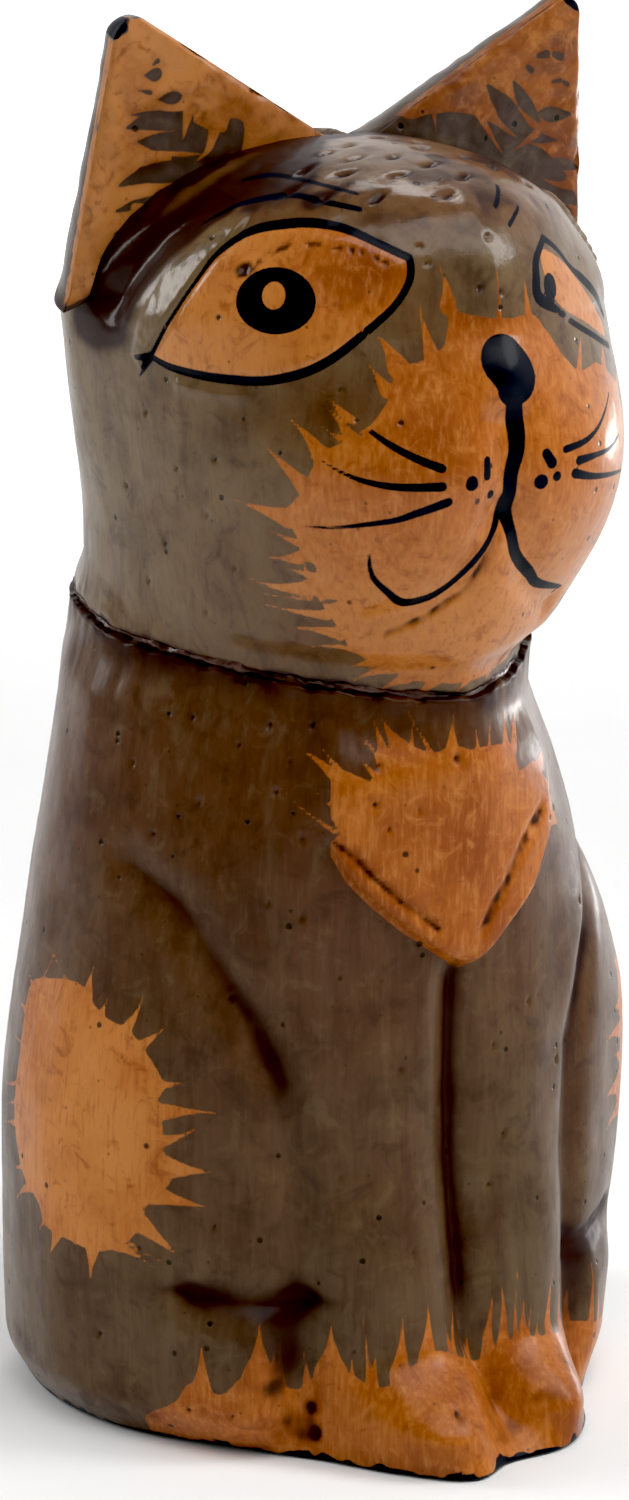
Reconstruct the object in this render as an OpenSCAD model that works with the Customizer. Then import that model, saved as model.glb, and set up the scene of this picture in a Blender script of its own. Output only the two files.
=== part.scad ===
// Sitting cat carved from wood, painted and lacquered.
// The body and the head are two blocks that meet on a sloping neck plane and
// are pinned by a hidden dowel. The ears stand on two sloping seats at the back
// of the crown and the tail lies on the ground behind; each is held by a peg.
// Millimetres, +Z up, the cat looks along -Y, and its left side is +X.

/* [Overall size] */
// Height from the ground to the tips of the ears
total_h = 198.5; // [170:0.5:230]
// Width over the haunches
base_w = 92; // [80:1:104]
// Depth from the toes to the rump, without the tail
base_d = 87; // [78:1:98]

/* [Carving] */
// Depth of the cut between the forelegs and of the cut in front of each haunch
leg_groove = 2.4; // [1:0.2:3.4]
// How far the toes stand forward of the shin
toe_reach = 9; // [6:0.5:10]
// How far the chest tuft stands proud
tuft_relief = 1.4; // [0.6:0.2:2]
// How far the muzzle swells out of the face
muzzle_swell = 2; // [1:0.2:3]
// Depth of the V groove round the neck seam
seam_depth = 2; // [1.4:0.1:2.4]

/* [Ears] */
// Width of an ear at its foot
ear_w = 45; // [40:1:47]
// Height of an ear above its seat
ear_h = 32; // [26:0.5:36]
// Thickness of an ear at its foot
ear_t = 13; // [11:0.5:15]

/* [Joinery] */
// Diameter of the neck dowel
dowel_d = 12; // [8:0.5:16]
// Length of the neck dowel
dowel_l = 36; // [26:1:44]
// Diameter of the pegs in the ears and the tail
peg_d = 4; // [3:0.5:5]
// Length of each ear peg
peg_l = 16; // [12:1:18]
// Slack of a dowel or peg in its hole, on the diameter
peg_slack = 0.1; // [0.1:0.05:0.3]

/* [Hidden] */

$fn = 48;

// The outlines below are drawn for a cat of this size, then scaled to the size asked for.
drawn_h = 198.5;
drawn_w = 92;
drawn_d = 87;
grow = [base_w / drawn_w, base_d / drawn_d, total_h / drawn_h];

// Upright axis that the body and head outlines are drawn about
axis_x = -0.5;
axis_y = 10.5;

// The neck plane rises towards the nape
neck_z = 112.3;
neck_slope = 0.18;

// Angles run from the front of the cat (0) towards its left side (+90)
steps_round = 88;
body_rows = 32;
head_rows = 15;
dome_rows = 10;

// Half widths, front and rear depths of the body by height: [height, value]
body_right = [[0, 44.5], [10, 45.8], [45, 46.1], [72, 42.2], [98, 38.3], [118, 35.5]];
body_left = [[0, 42.5], [10, 43.8], [35, 46.8], [52, 47.6], [67, 43.8], [80, 38], [93, 33.8],
             [104, 30], [118, 29.5]];
body_front = [[0, 42], [8, 41.5], [20, 39.5], [45, 36], [70, 36.5], [100, 38.5], [118, 39]];
body_rear = [[0, 36], [12, 37.5], [50, 37], [80, 34.5], [105, 31.5], [118, 31]];
body_front_power = [[0, 1.55], [12, 1.65], [40, 1.9], [80, 1.85], [93, 1.7], [104, 1.5]];
body_rear_power = [[0, 2.5], [118, 2.3]];

// The same for the neck seam, and for the head up to its widest level
neck_outline = [34.5, 30, 37.5, 31.5, 1.5, 2.3];
head_right = [[108, 33.5], [128, 34], [140, 35.8], [150, 37], [158, 38]];
head_left = [[108, 29], [119, 34.5], [128, 37], [140, 39], [149, 38.6], [158, 36.6]];
head_front = [[108, 36.5], [117, 41.5], [131, 46.5], [142, 47.5], [152, 46.5], [158, 45.5]];
head_rear = [[108, 30], [130, 28.5], [158, 26]];
head_power = [[108, 1.5], [119, 1.75], [130, 2], [158, 1.95]];
dome_from = 158;
dome_top = 181;

// Plan of the foot that it stands on: [angle, radius], and the height of its rounded edge
foot_plan = [[-180, 36], [-130, 43.5], [-106, 42.3], [-80, 39.6], [-53, 37], [-31, 39.5],
             [-17, 46], [-6, 51.5], [2, 48.5], [14, 49], [24, 46], [36, 41], [52, 39],
             [68, 40], [100, 41], [130, 43], [180, 36]];
foot_edge = 8;

// Paths of the carved grooves: [angle, height], for the cat's left side
thigh_path = [[73, 83], [62, 79], [54, 72], [45, 63], [39, 53], [36, 38], [35, 20], [34, -2]];
hind_toe_path = [[34, 23], [58, 24]];
ear_foot_path = [[38, 179], [51, 177], [61, 173], [69, 169], [79, 161]];
mouth_path = [[2, 134], [7, 125], [14, 121], [21, 119]];
tuft_path = [[-29, 88], [-25, 83], [-12, 75], [2, 69], [13, 74], [24, 81], [30, 88]];

// Ears: the plane midway between them, the middle of the left seat, its slope towards
// the ground, its turn to the back and its lean to the front
ear_plane_x = 0.6;
ear_seat = [22, 6.5, 169];
ear_slope = 28;
ear_turn = 7;
ear_lean = 6;
ear_tip_shift = -1.8;
ear_tip_r = 3;
ear_bow = 0.6;
ear_peg_back = 5.5;

// Tail: where it starts and ends round the body, and its thickness
tail_from = 197;
tail_to = 104;
tail_gap = 0.15;
tail_half = 6;
tail_tip_half = 3;
tail_rows = 24;
tail_sides = 14;
tail_peg_l = 13;
tail_peg_z = 6;

// ---------------------------------------------------------------- functions

function mix(a, b, t) = a + (b - a) * t;
function clamp(t) = min(1, max(0, t));
function ease(t) = let (u = clamp(t)) u * u * (3 - 2 * u);
function swell(d) = exp(-d * d);
function power(x, n) = pow(max(abs(x), 1e-9), n);

// Smooth curve through [x, y] points, level beyond its ends
function piece(p, x, i = 0) = i >= len(p) - 2 || x < p[i + 1][0] ? i : piece(p, x, i + 1);
function rise(p, i) =
    let (a = max(i - 1, 0), b = min(i + 1, len(p) - 1))
    (p[b][1] - p[a][1]) / (p[b][0] - p[a][0]);
function curve(p, x_any) =
    let (
        x = min(max(x_any, p[0][0]), p[len(p) - 1][0]),
        i = piece(p, x),
        h = p[i + 1][0] - p[i][0],
        t = (x - p[i][0]) / h
    )
    p[i][1] * (2 * t * t * t - 3 * t * t + 1) + h * rise(p, i) * (t * t * t - 2 * t * t + t)
    + p[i + 1][1] * (3 * t * t - 2 * t * t * t) + h * rise(p, i + 1) * (t * t * t - t * t);

// Radius of a rounded outline with its own half width on each side and depth at each end
function outline(a, right, left, front, rear, front_power, rear_power) =
    let (
        n = cos(a) > 0 ? front_power : rear_power,
        w = sin(a) < 0 ? right : left,
        d = cos(a) > 0 ? front : rear
    )
    pow(power(sin(a) / w, n) + power(cos(a) / d, n), -1 / n);

// Distance from a point to a path, both as [angle, height]; a degree is about 0.7 mm
degree_mm = 0.7;
function flat(q) = [q[0] * degree_mm, q[1]];
function to_segment(q, a, b) =
    let (t = clamp((q - a) * (b - a) / ((b - a) * (b - a))))
    norm(q - a - t * (b - a));
function to_path(q, path) =
    min([for (i = [0:len(path) - 2]) to_segment(flat(q), flat(path[i]), flat(path[i + 1]))]);

function neck_radius(a) =
    outline(a, neck_outline[0], neck_outline[1], neck_outline[2], neck_outline[3],
            neck_outline[4], neck_outline[5]);
function seam_radius(a) = neck_radius(a) - seam_depth;
function seam_z(a) = neck_z + neck_slope * (axis_y - seam_radius(a) * cos(a));

// Carving on the body: all of it is measured along the radius
function leg_split(a, z) =
    let (mid = 7 * (1 - ease(z / 18)))
    swell((a - mid) / 5) * ease((74 - z) / 8);
function shin_round(a, z) =
    1.6 * swell((abs(a - 1) - 17) / 11) * ease((72 - z) / 20);
function toes(a, z) =
    toe_reach * max(swell((a + 9) / 11), 0.85 * swell((a - 16) / 10)) * (1 - ease((z - 5) / 11));
function hind_toes(a, z) =
    let (side = abs(a))
    2.2 * ease((side - 33) / 12) * ease((72 - side) / 24) * ease((25 - z) / 9);
function tuft_edge(a) = curve(tuft_path, a);
function tuft(a, z) =
    tuft_relief * ease((a + 32) / 5) * ease((33 - a) / 5)
    * ease((z - tuft_edge(a)) / 2.5) * ease((106 - z) / 10);
function carving(a, z) =
    toes(a, z) + shin_round(a, z) + hind_toes(a, z) + tuft(a, z)
    - leg_groove * leg_split(a, z)
    - leg_groove * swell(to_path([abs(a), z], thigh_path) / 3)
    - leg_groove * swell(to_path([abs(a), z], hind_toe_path) / 2.6);
function body_side(a, z) =
    outline(a, curve(body_right, z), curve(body_left, z), curve(body_front, z),
            curve(body_rear, z), curve(body_front_power, z), curve(body_rear_power, z))
    + carving(a, z);
function body_radius(a, z) = mix(curve(foot_plan, a), body_side(a, z), power(ease(z / foot_edge), 0.6));

// Carving on the head
function muzzle(a, z) = muzzle_swell * swell(norm([(abs(a) - 19) / 20, (z - 138) / 11]));
function eye_hollow(a, z) = -3.4 * swell(norm([(abs(a) - 34) / 26, (z - 165) / 9]));
function eye_ball(a, z) = 2.4 * swell(norm([(abs(a) - 44) / 21, (z - 162) / 7]));
function nose(a, z) = 1.3 * swell(norm([a / 6, (z - 153) / 4]));
function face(a, z) =
    muzzle(a, z) + eye_hollow(a, z) + eye_ball(a, z) + nose(a, z)
    - 1.2 * swell(to_path([abs(a), z], mouth_path) / 2.4)
    - 1.6 * swell(to_path([abs(a), z], ear_foot_path) / 3)
    - 1.2 * swell(a / 4) * ease((150 - z) / 4) * ease((z - 130) / 6);
function head_radius(a, z) =
    outline(a, curve(head_right, z), curve(head_left, z), curve(head_front, z),
            curve(head_rear, z), curve(head_power, z), 2.2)
    + face(a, z);
function widest_radius(a) = head_radius(a, dome_from) - face(a, dome_from);
function dome_power(a) = 2.05 - 0.2 * sin(a) + 0.9 * power(max(cos(a), 0), 2);

// ---------------------------------------------------------------- points

// Directions round the axis, closer together towards the face
function angle_at(i) = let (u = 2 * i / steps_round - 1) 180 * (0.6 * u + 0.4 * u * u * u);
angles = [for (i = [0:steps_round - 1]) angle_at(i)];

function spot(a, r, z) =
    [(axis_x + r * sin(a)) * grow[0], (axis_y - r * cos(a)) * grow[1], z * grow[2]];

// Rows of the body, ground to seam; the last two make the lower side of the seam groove
function body_row(j) =
    [for (a = angles)
        let (
            lip_z = seam_z(a) - seam_depth,
            z = lip_z * power(j / body_rows, 1.15),
            near = ease((z - lip_z + 9) / 9)
        )
        spot(a, mix(body_radius(a, z), neck_radius(a) + 0.6, near), z)];
function seam_row() = [for (a = angles) spot(a, seam_radius(a), seam_z(a))];

// Rows of the head, seam to crown
function head_row(j) =
    [for (a = angles)
        let (
            lip_z = seam_z(a) + seam_depth,
            z = mix(lip_z, dome_from, j / head_rows),
            near = 1 - ease((z - lip_z) / 6)
        )
        spot(a, mix(head_radius(a, z), neck_radius(a) - 0.2, near), z)];
function dome_row(j) =
    [for (a = angles)
        let (
            s = 90 * j / dome_rows,
            n = 2 / dome_power(a),
            z = dome_from + (dome_top - dome_from) * power(sin(s), n),
            r = widest_radius(a) * power(cos(s), n)
        )
        spot(a, r + face(a, z) * power(cos(s), n), z)];

body_rings = concat([for (j = [0:body_rows]) body_row(j)], [seam_row()]);
head_rings = concat([seam_row()], [for (j = [0:head_rows]) head_row(j)],
                    [for (j = [1:dome_rows - 1]) dome_row(j)]);

// Local outline of an ear, [across, back], at a height above its seat: nearly flat front,
// round back
ear_angle = atan((ear_w / 2 - 1.6) / ear_h);
ear_tip_drop = ear_tip_r * (1 - sin(ear_angle));
function ear_half_w(h) =
    let (down = ear_h - h)
    down < ear_tip_drop ? sqrt(down * (2 * ear_tip_r - down))
                        : ear_w / 2 - h * tan(ear_angle);
function ear_thick(h) =
    let (down = min((ear_h - h) / 2, 1))
    mix(ear_t, 4.4, h / ear_h) * sqrt(down * (2 - down));
function ear_ring(h) =
    let (
        w = ear_half_w(h),
        t = ear_thick(h),
        mid = mix(0, ear_tip_shift, h / ear_h)
    )
    concat(
        [for (k = [0:7]) [mid + w * (k / 4 - 1), -ear_bow * sin(22.5 * k) * cos(70 * h / ear_h), h]],
        [for (k = [0:15])
            let (p = 180 * k / 16)
            [mid + w * sign(cos(p)) * power(cos(p), 0.75), max(t * power(sin(p), 0.75), 0), h]]
    );
ear_levels = concat([for (k = [0:8]) (ear_h - 2) * k / 8],
                    [for (down = [1.4, 0.8, 0.35, 0.1]) ear_h - down]);

// Tail: rings square to the body's outline, thick at the root and thin at the tip
function tail_size(t) = mix(tail_half, tail_tip_half, t) * sqrt(clamp(1 - pow(2 * t - 1, 10)) + 0.02);
function tail_ring(t) =
    let (
        a = mix(tail_from, tail_to, t),
        s = tail_size(t),
        r = body_radius(a > 180 ? a - 360 : a, s) + tail_gap + mix(tail_half, tail_tip_half, t)
    )
    [for (k = [0:tail_sides - 1])
        let (p = 360 * k / tail_sides)
        spot(a, r + s * cos(p), max(mix(tail_half, tail_tip_half, t) + s * sin(p), 0))];
tail_rings = [for (j = [0:tail_rows]) tail_ring(j / tail_rows)];

// The origin is under the middle of the whole cat
function values(rings, k) = [for (r = rings, p = r) p[k]];
all_x = concat(values(body_rings, 0), values(tail_rings, 0));
all_y = concat(values(body_rings, 1), values(tail_rings, 1));
middle = [(min(all_x) + max(all_x)) / 2, (min(all_y) + max(all_y)) / 2, 0];

// ---------------------------------------------------------------- solids

// Closed solid through rings of equal length, flat at its first ring; a given
// top point closes it, or else the last ring is flat too
module skin(rings, top) {
    n = len(rings[0]);
    m = len(rings);
    points = concat([for (r = rings, p = r) p], is_undef(top) ? [] : [top]);
    sides = [for (j = [0:m - 2], i = [0:n - 1])
        let (a = j * n + i, b = j * n + (i + 1) % n)
        each [[a, a + n, b], [b, a + n, b + n]]];
    floor_face = [[for (i = [0:n - 1]) i]];
    roof = is_undef(top) ? [[for (i = [n - 1:-1:0]) (m - 1) * n + i]]
                         : [for (i = [0:n - 1]) [(m - 1) * n + i, n * m, (m - 1) * n + (i + 1) % n]];
    polyhedron(points, concat(floor_face, sides, roof), convexity = 10);
}

module place() translate(-middle) children();

// Pins along +Z with chamfered ends, and the holes that they sit in
module pin(d, l) {
    cylinder(d = d, h = l - 2, center = true);
    for (s = [0, 1]) mirror([0, 0, s])
        translate([0, 0, l / 2 - 1]) cylinder(d1 = d, d2 = d - 1.5, h = 1);
}
module hole(d, l) cylinder(d = d + peg_slack, h = l + 1, center = true);

module at_neck() translate([axis_x * grow[0], 9, (neck_z + 9 * neck_slope) * grow[2]]) children();
module at_ear(side)
    translate([ear_plane_x * grow[0], 0, 0]) mirror([side < 0 ? 1 : 0, 0, 0])
        translate([ear_seat[0] * grow[0], ear_seat[1] * grow[1], ear_seat[2] * grow[2]])
            rotate([0, ear_slope, 0]) rotate([ear_lean, 0, ear_turn]) children();
module at_ear_peg(side) at_ear(side) translate([0, ear_peg_back, 0]) children();

tail_peg_y = (axis_y + body_radius(180, tail_peg_z)) * grow[1];
module at_tail_peg()
    translate([axis_x * grow[0], tail_peg_y, tail_half * grow[2]])
        rotate([90, 0, 0]) children();

module ear(side)
    at_ear(side) difference() {
        skin([for (h = ear_levels) ear_ring(h)], [ear_tip_shift, 0.6, ear_h]);
        translate([0, ear_peg_back, 0]) hole(peg_d, peg_l);
    }

module body()
    color([0.33, 0.27, 0.2]) place() difference() {
        skin(body_rings);
        at_neck() hole(dowel_d, dowel_l);
        at_tail_peg() hole(peg_d, tail_peg_l);
    }

module head()
    color([0.4, 0.36, 0.28]) place() difference() {
        skin(head_rings, [axis_x * grow[0], axis_y * grow[1], dome_top * grow[2]]);
        at_neck() hole(dowel_d, dowel_l);
        for (side = [-1, 1]) {
            at_ear(side) translate([-40, 0, 0]) cube([90, 60, 30]);
            at_ear_peg(side) hole(peg_d, peg_l);
        }
    }

module ear_right() color([0.76, 0.45, 0.18]) place() ear(-1);

module ear_left() color([0.72, 0.42, 0.16]) place() ear(1);

module tail()
    color([0.36, 0.29, 0.2]) place() difference() {
        skin(tail_rings);
        at_tail_peg() hole(peg_d, tail_peg_l);
    }

module neck_dowel() color([0.8, 0.66, 0.45]) place() at_neck() pin(dowel_d, dowel_l);

module ear_pegs()
    color([0.8, 0.66, 0.45]) place()
        for (side = [-1, 1]) at_ear_peg(side) pin(peg_d, peg_l);

module tail_peg() color([0.8, 0.66, 0.45]) place() at_tail_peg() pin(peg_d, tail_peg_l);

// Bead of dark filler that lies in the seam groove, clear of both its sides
module neck_filler() {
    bead = [[0.2, 0], [1.3, -0.95], [1.7, 0], [1.3, 0.95]];
    rings = [for (a = angles)
        [for (q = bead * seam_depth / 2) spot(a, seam_radius(a) + q[0], seam_z(a) + q[1])]];
    n = len(bead);
    m = len(rings);
    color([0.12, 0.07, 0.06]) place()
        polyhedron([for (r = rings, p = r) p],
                   [for (j = [0:m - 1], i = [0:n - 1])
                       let (a = j * n + i, b = j * n + (i + 1) % n, c = (j + 1) % m * n + i,
                            d = (j + 1) % m * n + (i + 1) % n)
                       each [[a, c, b], [b, c, d]]],
                   convexity = 10);
}

body();
head();
ear_right();
ear_left();
tail();
neck_dowel();
ear_pegs();
tail_peg();
neck_filler();
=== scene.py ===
"""Carved and painted wooden cat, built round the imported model.

Lengths below are drawn in millimetres, in the frame that the part's outlines are drawn
in, and moved into the model's frame in metres at the end. Places on the head and the
body are given as (angle, height): the angle in degrees runs from the front of the cat
(0) towards its left side (+90).
"""

import math

import bpy
import numpy as np
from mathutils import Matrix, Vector


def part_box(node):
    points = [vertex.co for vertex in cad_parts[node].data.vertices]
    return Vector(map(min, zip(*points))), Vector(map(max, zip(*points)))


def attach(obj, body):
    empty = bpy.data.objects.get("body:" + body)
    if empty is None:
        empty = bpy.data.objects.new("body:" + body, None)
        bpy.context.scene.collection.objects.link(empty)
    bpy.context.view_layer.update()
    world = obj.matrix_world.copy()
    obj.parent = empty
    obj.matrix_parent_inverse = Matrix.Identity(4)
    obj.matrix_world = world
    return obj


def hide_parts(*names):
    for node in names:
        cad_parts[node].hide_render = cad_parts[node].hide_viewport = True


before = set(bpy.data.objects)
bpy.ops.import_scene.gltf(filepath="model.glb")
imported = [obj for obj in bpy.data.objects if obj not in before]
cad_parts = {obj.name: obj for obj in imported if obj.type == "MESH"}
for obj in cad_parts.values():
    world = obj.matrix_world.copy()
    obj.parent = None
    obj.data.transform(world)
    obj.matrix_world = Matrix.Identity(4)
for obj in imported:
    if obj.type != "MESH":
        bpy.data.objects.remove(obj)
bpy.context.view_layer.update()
MM = 0.001

# ------------------------------------------------------------------ outlines, as in the CAD
AXIS_X, AXIS_Y = -0.5, 10.5
NECK_Z, NECK_SLOPE = 112.3, 0.18
SEAM_DEPTH = 2.0
SEAM_HALF = 0.55
LEG_GROOVE = 2.4
TOE_REACH = 9.0
TUFT_RELIEF = 1.4
MUZZLE_SWELL = 2.0
DOME_FROM, DOME_TOP = 158.0, 181.0
DOWEL_Y, DOWEL_HOLE_R, DOWEL_HALF = 9.0, 6.05, 18.5

BODY_RIGHT = [(0, 44.5), (10, 45.8), (45, 46.1), (72, 42.2), (98, 38.3), (118, 35.5)]
BODY_LEFT = [
    (0, 42.5), (10, 43.8), (35, 46.8), (52, 47.6), (67, 43.8), (80, 38), (93, 33.8), (104, 30),
    (118, 29.5),
]
BODY_FRONT = [(0, 42), (8, 41.5), (20, 39.5), (45, 36), (70, 36.5), (100, 38.5), (118, 39)]
BODY_REAR = [(0, 36), (12, 37.5), (50, 37), (80, 34.5), (105, 31.5), (118, 31)]
BODY_FRONT_POWER = [(0, 1.55), (12, 1.65), (40, 1.9), (80, 1.85), (93, 1.7), (104, 1.5)]
BODY_REAR_POWER = [(0, 2.5), (118, 2.3)]
NECK_OUTLINE = (34.5, 30, 37.5, 31.5, 1.5, 2.3)
HEAD_RIGHT = [(108, 33.5), (128, 34), (140, 35.8), (150, 37), (158, 38)]
HEAD_LEFT = [(108, 29), (119, 34.5), (128, 37), (140, 39), (149, 38.6), (158, 36.6)]
HEAD_FRONT = [(108, 36.5), (117, 41.5), (131, 46.5), (142, 47.5), (152, 46.5), (158, 45.5)]
HEAD_REAR = [(108, 30), (130, 28.5), (158, 26)]
HEAD_POWER = [(108, 1.5), (119, 1.75), (130, 2), (158, 1.95)]
FOOT_PLAN = [
    (-180, 36), (-130, 43.5), (-106, 42.3), (-80, 39.6), (-53, 37), (-31, 39.5), (-17, 46), (-6, 51.5),
    (2, 48.5), (14, 49), (24, 46), (36, 41), (52, 39), (68, 40), (100, 41), (130, 43), (180, 36),
]
FOOT_EDGE = 8
THIGH_PATH = [(73, 83), (62, 79), (54, 72), (45, 63), (39, 53), (36, 38), (35, 20), (34, -2)]
HIND_TOE_PATH = [(34, 23), (58, 24)]
MOUTH_PATH = [(2, 134), (7, 125), (14, 121), (21, 119)]
EAR_FOOT_PATH = [(38, 179), (51, 177), (61, 173), (69, 169), (79, 161)]
TUFT_PATH = [(-29, 88), (-25, 83), (-12, 75), (2, 69), (13, 74), (24, 81), (30, 88)]

EAR_PLANE_X = 0.6
EAR_SEAT = (22, 6.5, 169)
EAR_SLOPE, EAR_TURN, EAR_LEAN = 28, 7, 6
EAR_W, EAR_H, EAR_T = 45, 32, 13
EAR_TIP_T, EAR_TIP_SHIFT, EAR_TIP_R, EAR_BOW = 4.4, -1.8, 3, 0.6
TAIL_FROM, TAIL_TO, TAIL_GAP = 197, 104, 0.15
TAIL_HALF, TAIL_TIP_HALF = 6, 3


def sind(a):
    return np.sin(np.radians(a))


def cosd(a):
    return np.cos(np.radians(a))


def mix(a, b, t):
    return a + (b - a) * t


def ease(t):
    u = np.clip(t, 0, 1)
    return u * u * (3 - 2 * u)


def swell(d):
    return np.exp(-np.square(d))


def power(x, n):
    return np.maximum(np.abs(x), 1e-9) ** n


def curve(points, x):
    """Smooth curve through (x, y) points, level beyond its ends."""
    px, py = np.array(points, float).T
    last = len(px) - 1
    before = np.maximum(np.arange(last + 1) - 1, 0)
    after = np.minimum(np.arange(last + 1) + 1, last)
    rise = (py[after] - py[before]) / (px[after] - px[before])
    x = np.clip(x, px[0], px[-1])
    i = np.clip(np.searchsorted(px, x, side="right") - 1, 0, last - 1)
    h = px[i + 1] - px[i]
    t = (x - px[i]) / h
    return (
        py[i] * (2 * t**3 - 3 * t**2 + 1)
        + h * rise[i] * (t**3 - 2 * t**2 + t)
        + py[i + 1] * (3 * t**2 - 2 * t**3)
        + h * rise[i + 1] * (t**3 - t**2)
    )


def outline(a, right, left, front, rear, front_power, rear_power):
    n = np.where(cosd(a) > 0, front_power, rear_power)
    w = np.where(sind(a) < 0, right, left)
    d = np.where(cosd(a) > 0, front, rear)
    return (power(sind(a) / w, n) + power(cosd(a) / d, n)) ** (-1 / n)


DEGREE_MM = 0.7


def to_path(a, z, path):
    """Distance to a path of (angle, height) points."""
    best = np.full(np.shape(a + z), 1e9)
    for (a0, z0), (a1, z1) in zip(path, path[1:]):
        x0, x1 = a0 * DEGREE_MM, a1 * DEGREE_MM
        dx, dz = x1 - x0, z1 - z0
        t = np.clip(((a * DEGREE_MM - x0) * dx + (z - z0) * dz) / (dx * dx + dz * dz), 0, 1)
        best = np.minimum(best, np.hypot(a * DEGREE_MM - x0 - t * dx, z - z0 - t * dz))
    return best


def neck_radius(a):
    return outline(a, *NECK_OUTLINE)


def seam_radius(a):
    return neck_radius(a) - SEAM_DEPTH


def seam_z(a):
    return NECK_Z + NECK_SLOPE * (AXIS_Y - seam_radius(a) * cosd(a))


def tuft_edge(a):
    return curve(TUFT_PATH, a)


def body_carving(a, z):
    side = np.abs(a)
    split_mid = 7 * (1 - ease(z / 18))
    toes = TOE_REACH * np.maximum(swell((a + 9) / 11), 0.85 * swell((a - 16) / 10)) * (1 - ease((z - 5) / 11))
    shins = 1.6 * swell((np.abs(a - 1) - 17) / 11) * ease((72 - z) / 20)
    hind_toes = 2.2 * ease((side - 33) / 12) * ease((72 - side) / 24) * ease((25 - z) / 9)
    tuft = (
        TUFT_RELIEF * ease((a + 32) / 5) * ease((33 - a) / 5)
        * ease((z - tuft_edge(a)) / 1.3) * ease((106 - z) / 10)
    )
    return (
        toes + shins + hind_toes + tuft
        - LEG_GROOVE * swell((a - split_mid) / 5) * ease((74 - z) / 8)
        - LEG_GROOVE * swell(to_path(side, z, THIGH_PATH) / 3)
        - LEG_GROOVE * swell(to_path(side, z, HIND_TOE_PATH) / 2.6)
    )


def body_radius(a, z):
    side = outline(
        a, curve(BODY_RIGHT, z), curve(BODY_LEFT, z), curve(BODY_FRONT, z),
        curve(BODY_REAR, z), curve(BODY_FRONT_POWER, z), curve(BODY_REAR_POWER, z),
    ) + body_carving(a, z)
    return mix(curve(FOOT_PLAN, a), side, power(ease(z / FOOT_EDGE), 0.6))


def face(a, z):
    side = np.abs(a)
    return (
        MUZZLE_SWELL * swell(np.hypot((side - 19) / 20, (z - 138) / 11))
        - 3.4 * swell(np.hypot((side - 34) / 26, (z - 165) / 9))
        + 2.4 * swell(np.hypot((side - 44) / 21, (z - 162) / 7))
        + 1.3 * swell(np.hypot(a / 6, (z - 153) / 4))
        - 1.2 * swell(to_path(side, z, MOUTH_PATH) / 2.4)
        - 1.6 * swell(to_path(side, z, EAR_FOOT_PATH) / 3)
        - 1.2 * swell(a / 4) * ease((150 - z) / 4) * ease((z - 130) / 6)
    )


def head_outline(a, z):
    return outline(
        a, curve(HEAD_RIGHT, z), curve(HEAD_LEFT, z), curve(HEAD_FRONT, z),
        curve(HEAD_REAR, z), curve(HEAD_POWER, z), 2.2,
    )


# ------------------------------------------------------------------ small seeded noise
LATTICE = np.random.default_rng(7).random((32, 32, 32)) * 2 - 1


def noise(x, y, z, size, shift=0.0):
    """Smooth noise from -1 to 1, with features of about size."""
    p = [np.asarray(v, float) / size + 100 + shift for v in (x, y, z)]
    cell = [np.floor(v).astype(int) for v in p]
    u, v, w = [ease(q - c) for q, c in zip(p, cell)]
    i, j, k = [c % 32 for c in cell]
    i1, j1, k1 = (i + 1) % 32, (j + 1) % 32, (k + 1) % 32
    low = mix(mix(LATTICE[i, j, k], LATTICE[i1, j, k], u), mix(LATTICE[i, j1, k], LATTICE[i1, j1, k], u), v)
    high = mix(
        mix(LATTICE[i, j, k1], LATTICE[i1, j, k1], u), mix(LATTICE[i, j1, k1], LATTICE[i1, j1, k1], u), v
    )
    return mix(low, high, w)


# ------------------------------------------------------------------ painted shapes
def rounded(points, closed=False, steps=4):
    """More points along a smooth line through the given ones."""
    p = np.array(points, float)
    n = len(p)
    spans = n if closed else n - 1
    out = []
    for i in range(spans):
        if closed:
            p0, p1, p2, p3 = (p[(i + k) % n] for k in (-1, 0, 1, 2))
        else:
            p0, p1, p2, p3 = p[max(i - 1, 0)], p[i], p[i + 1], p[min(i + 2, n - 1)]
        for t in np.arange(steps) / steps:
            out.append(
                0.5 * (
                    2 * p1 + (p2 - p0) * t + (2 * p0 - 5 * p1 + 4 * p2 - p3) * t**2
                    + (3 * p1 - p0 - 3 * p2 + p3) * t**3
                )
            )
    if not closed:
        out.append(p[-1])
    return np.array(out)


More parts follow.
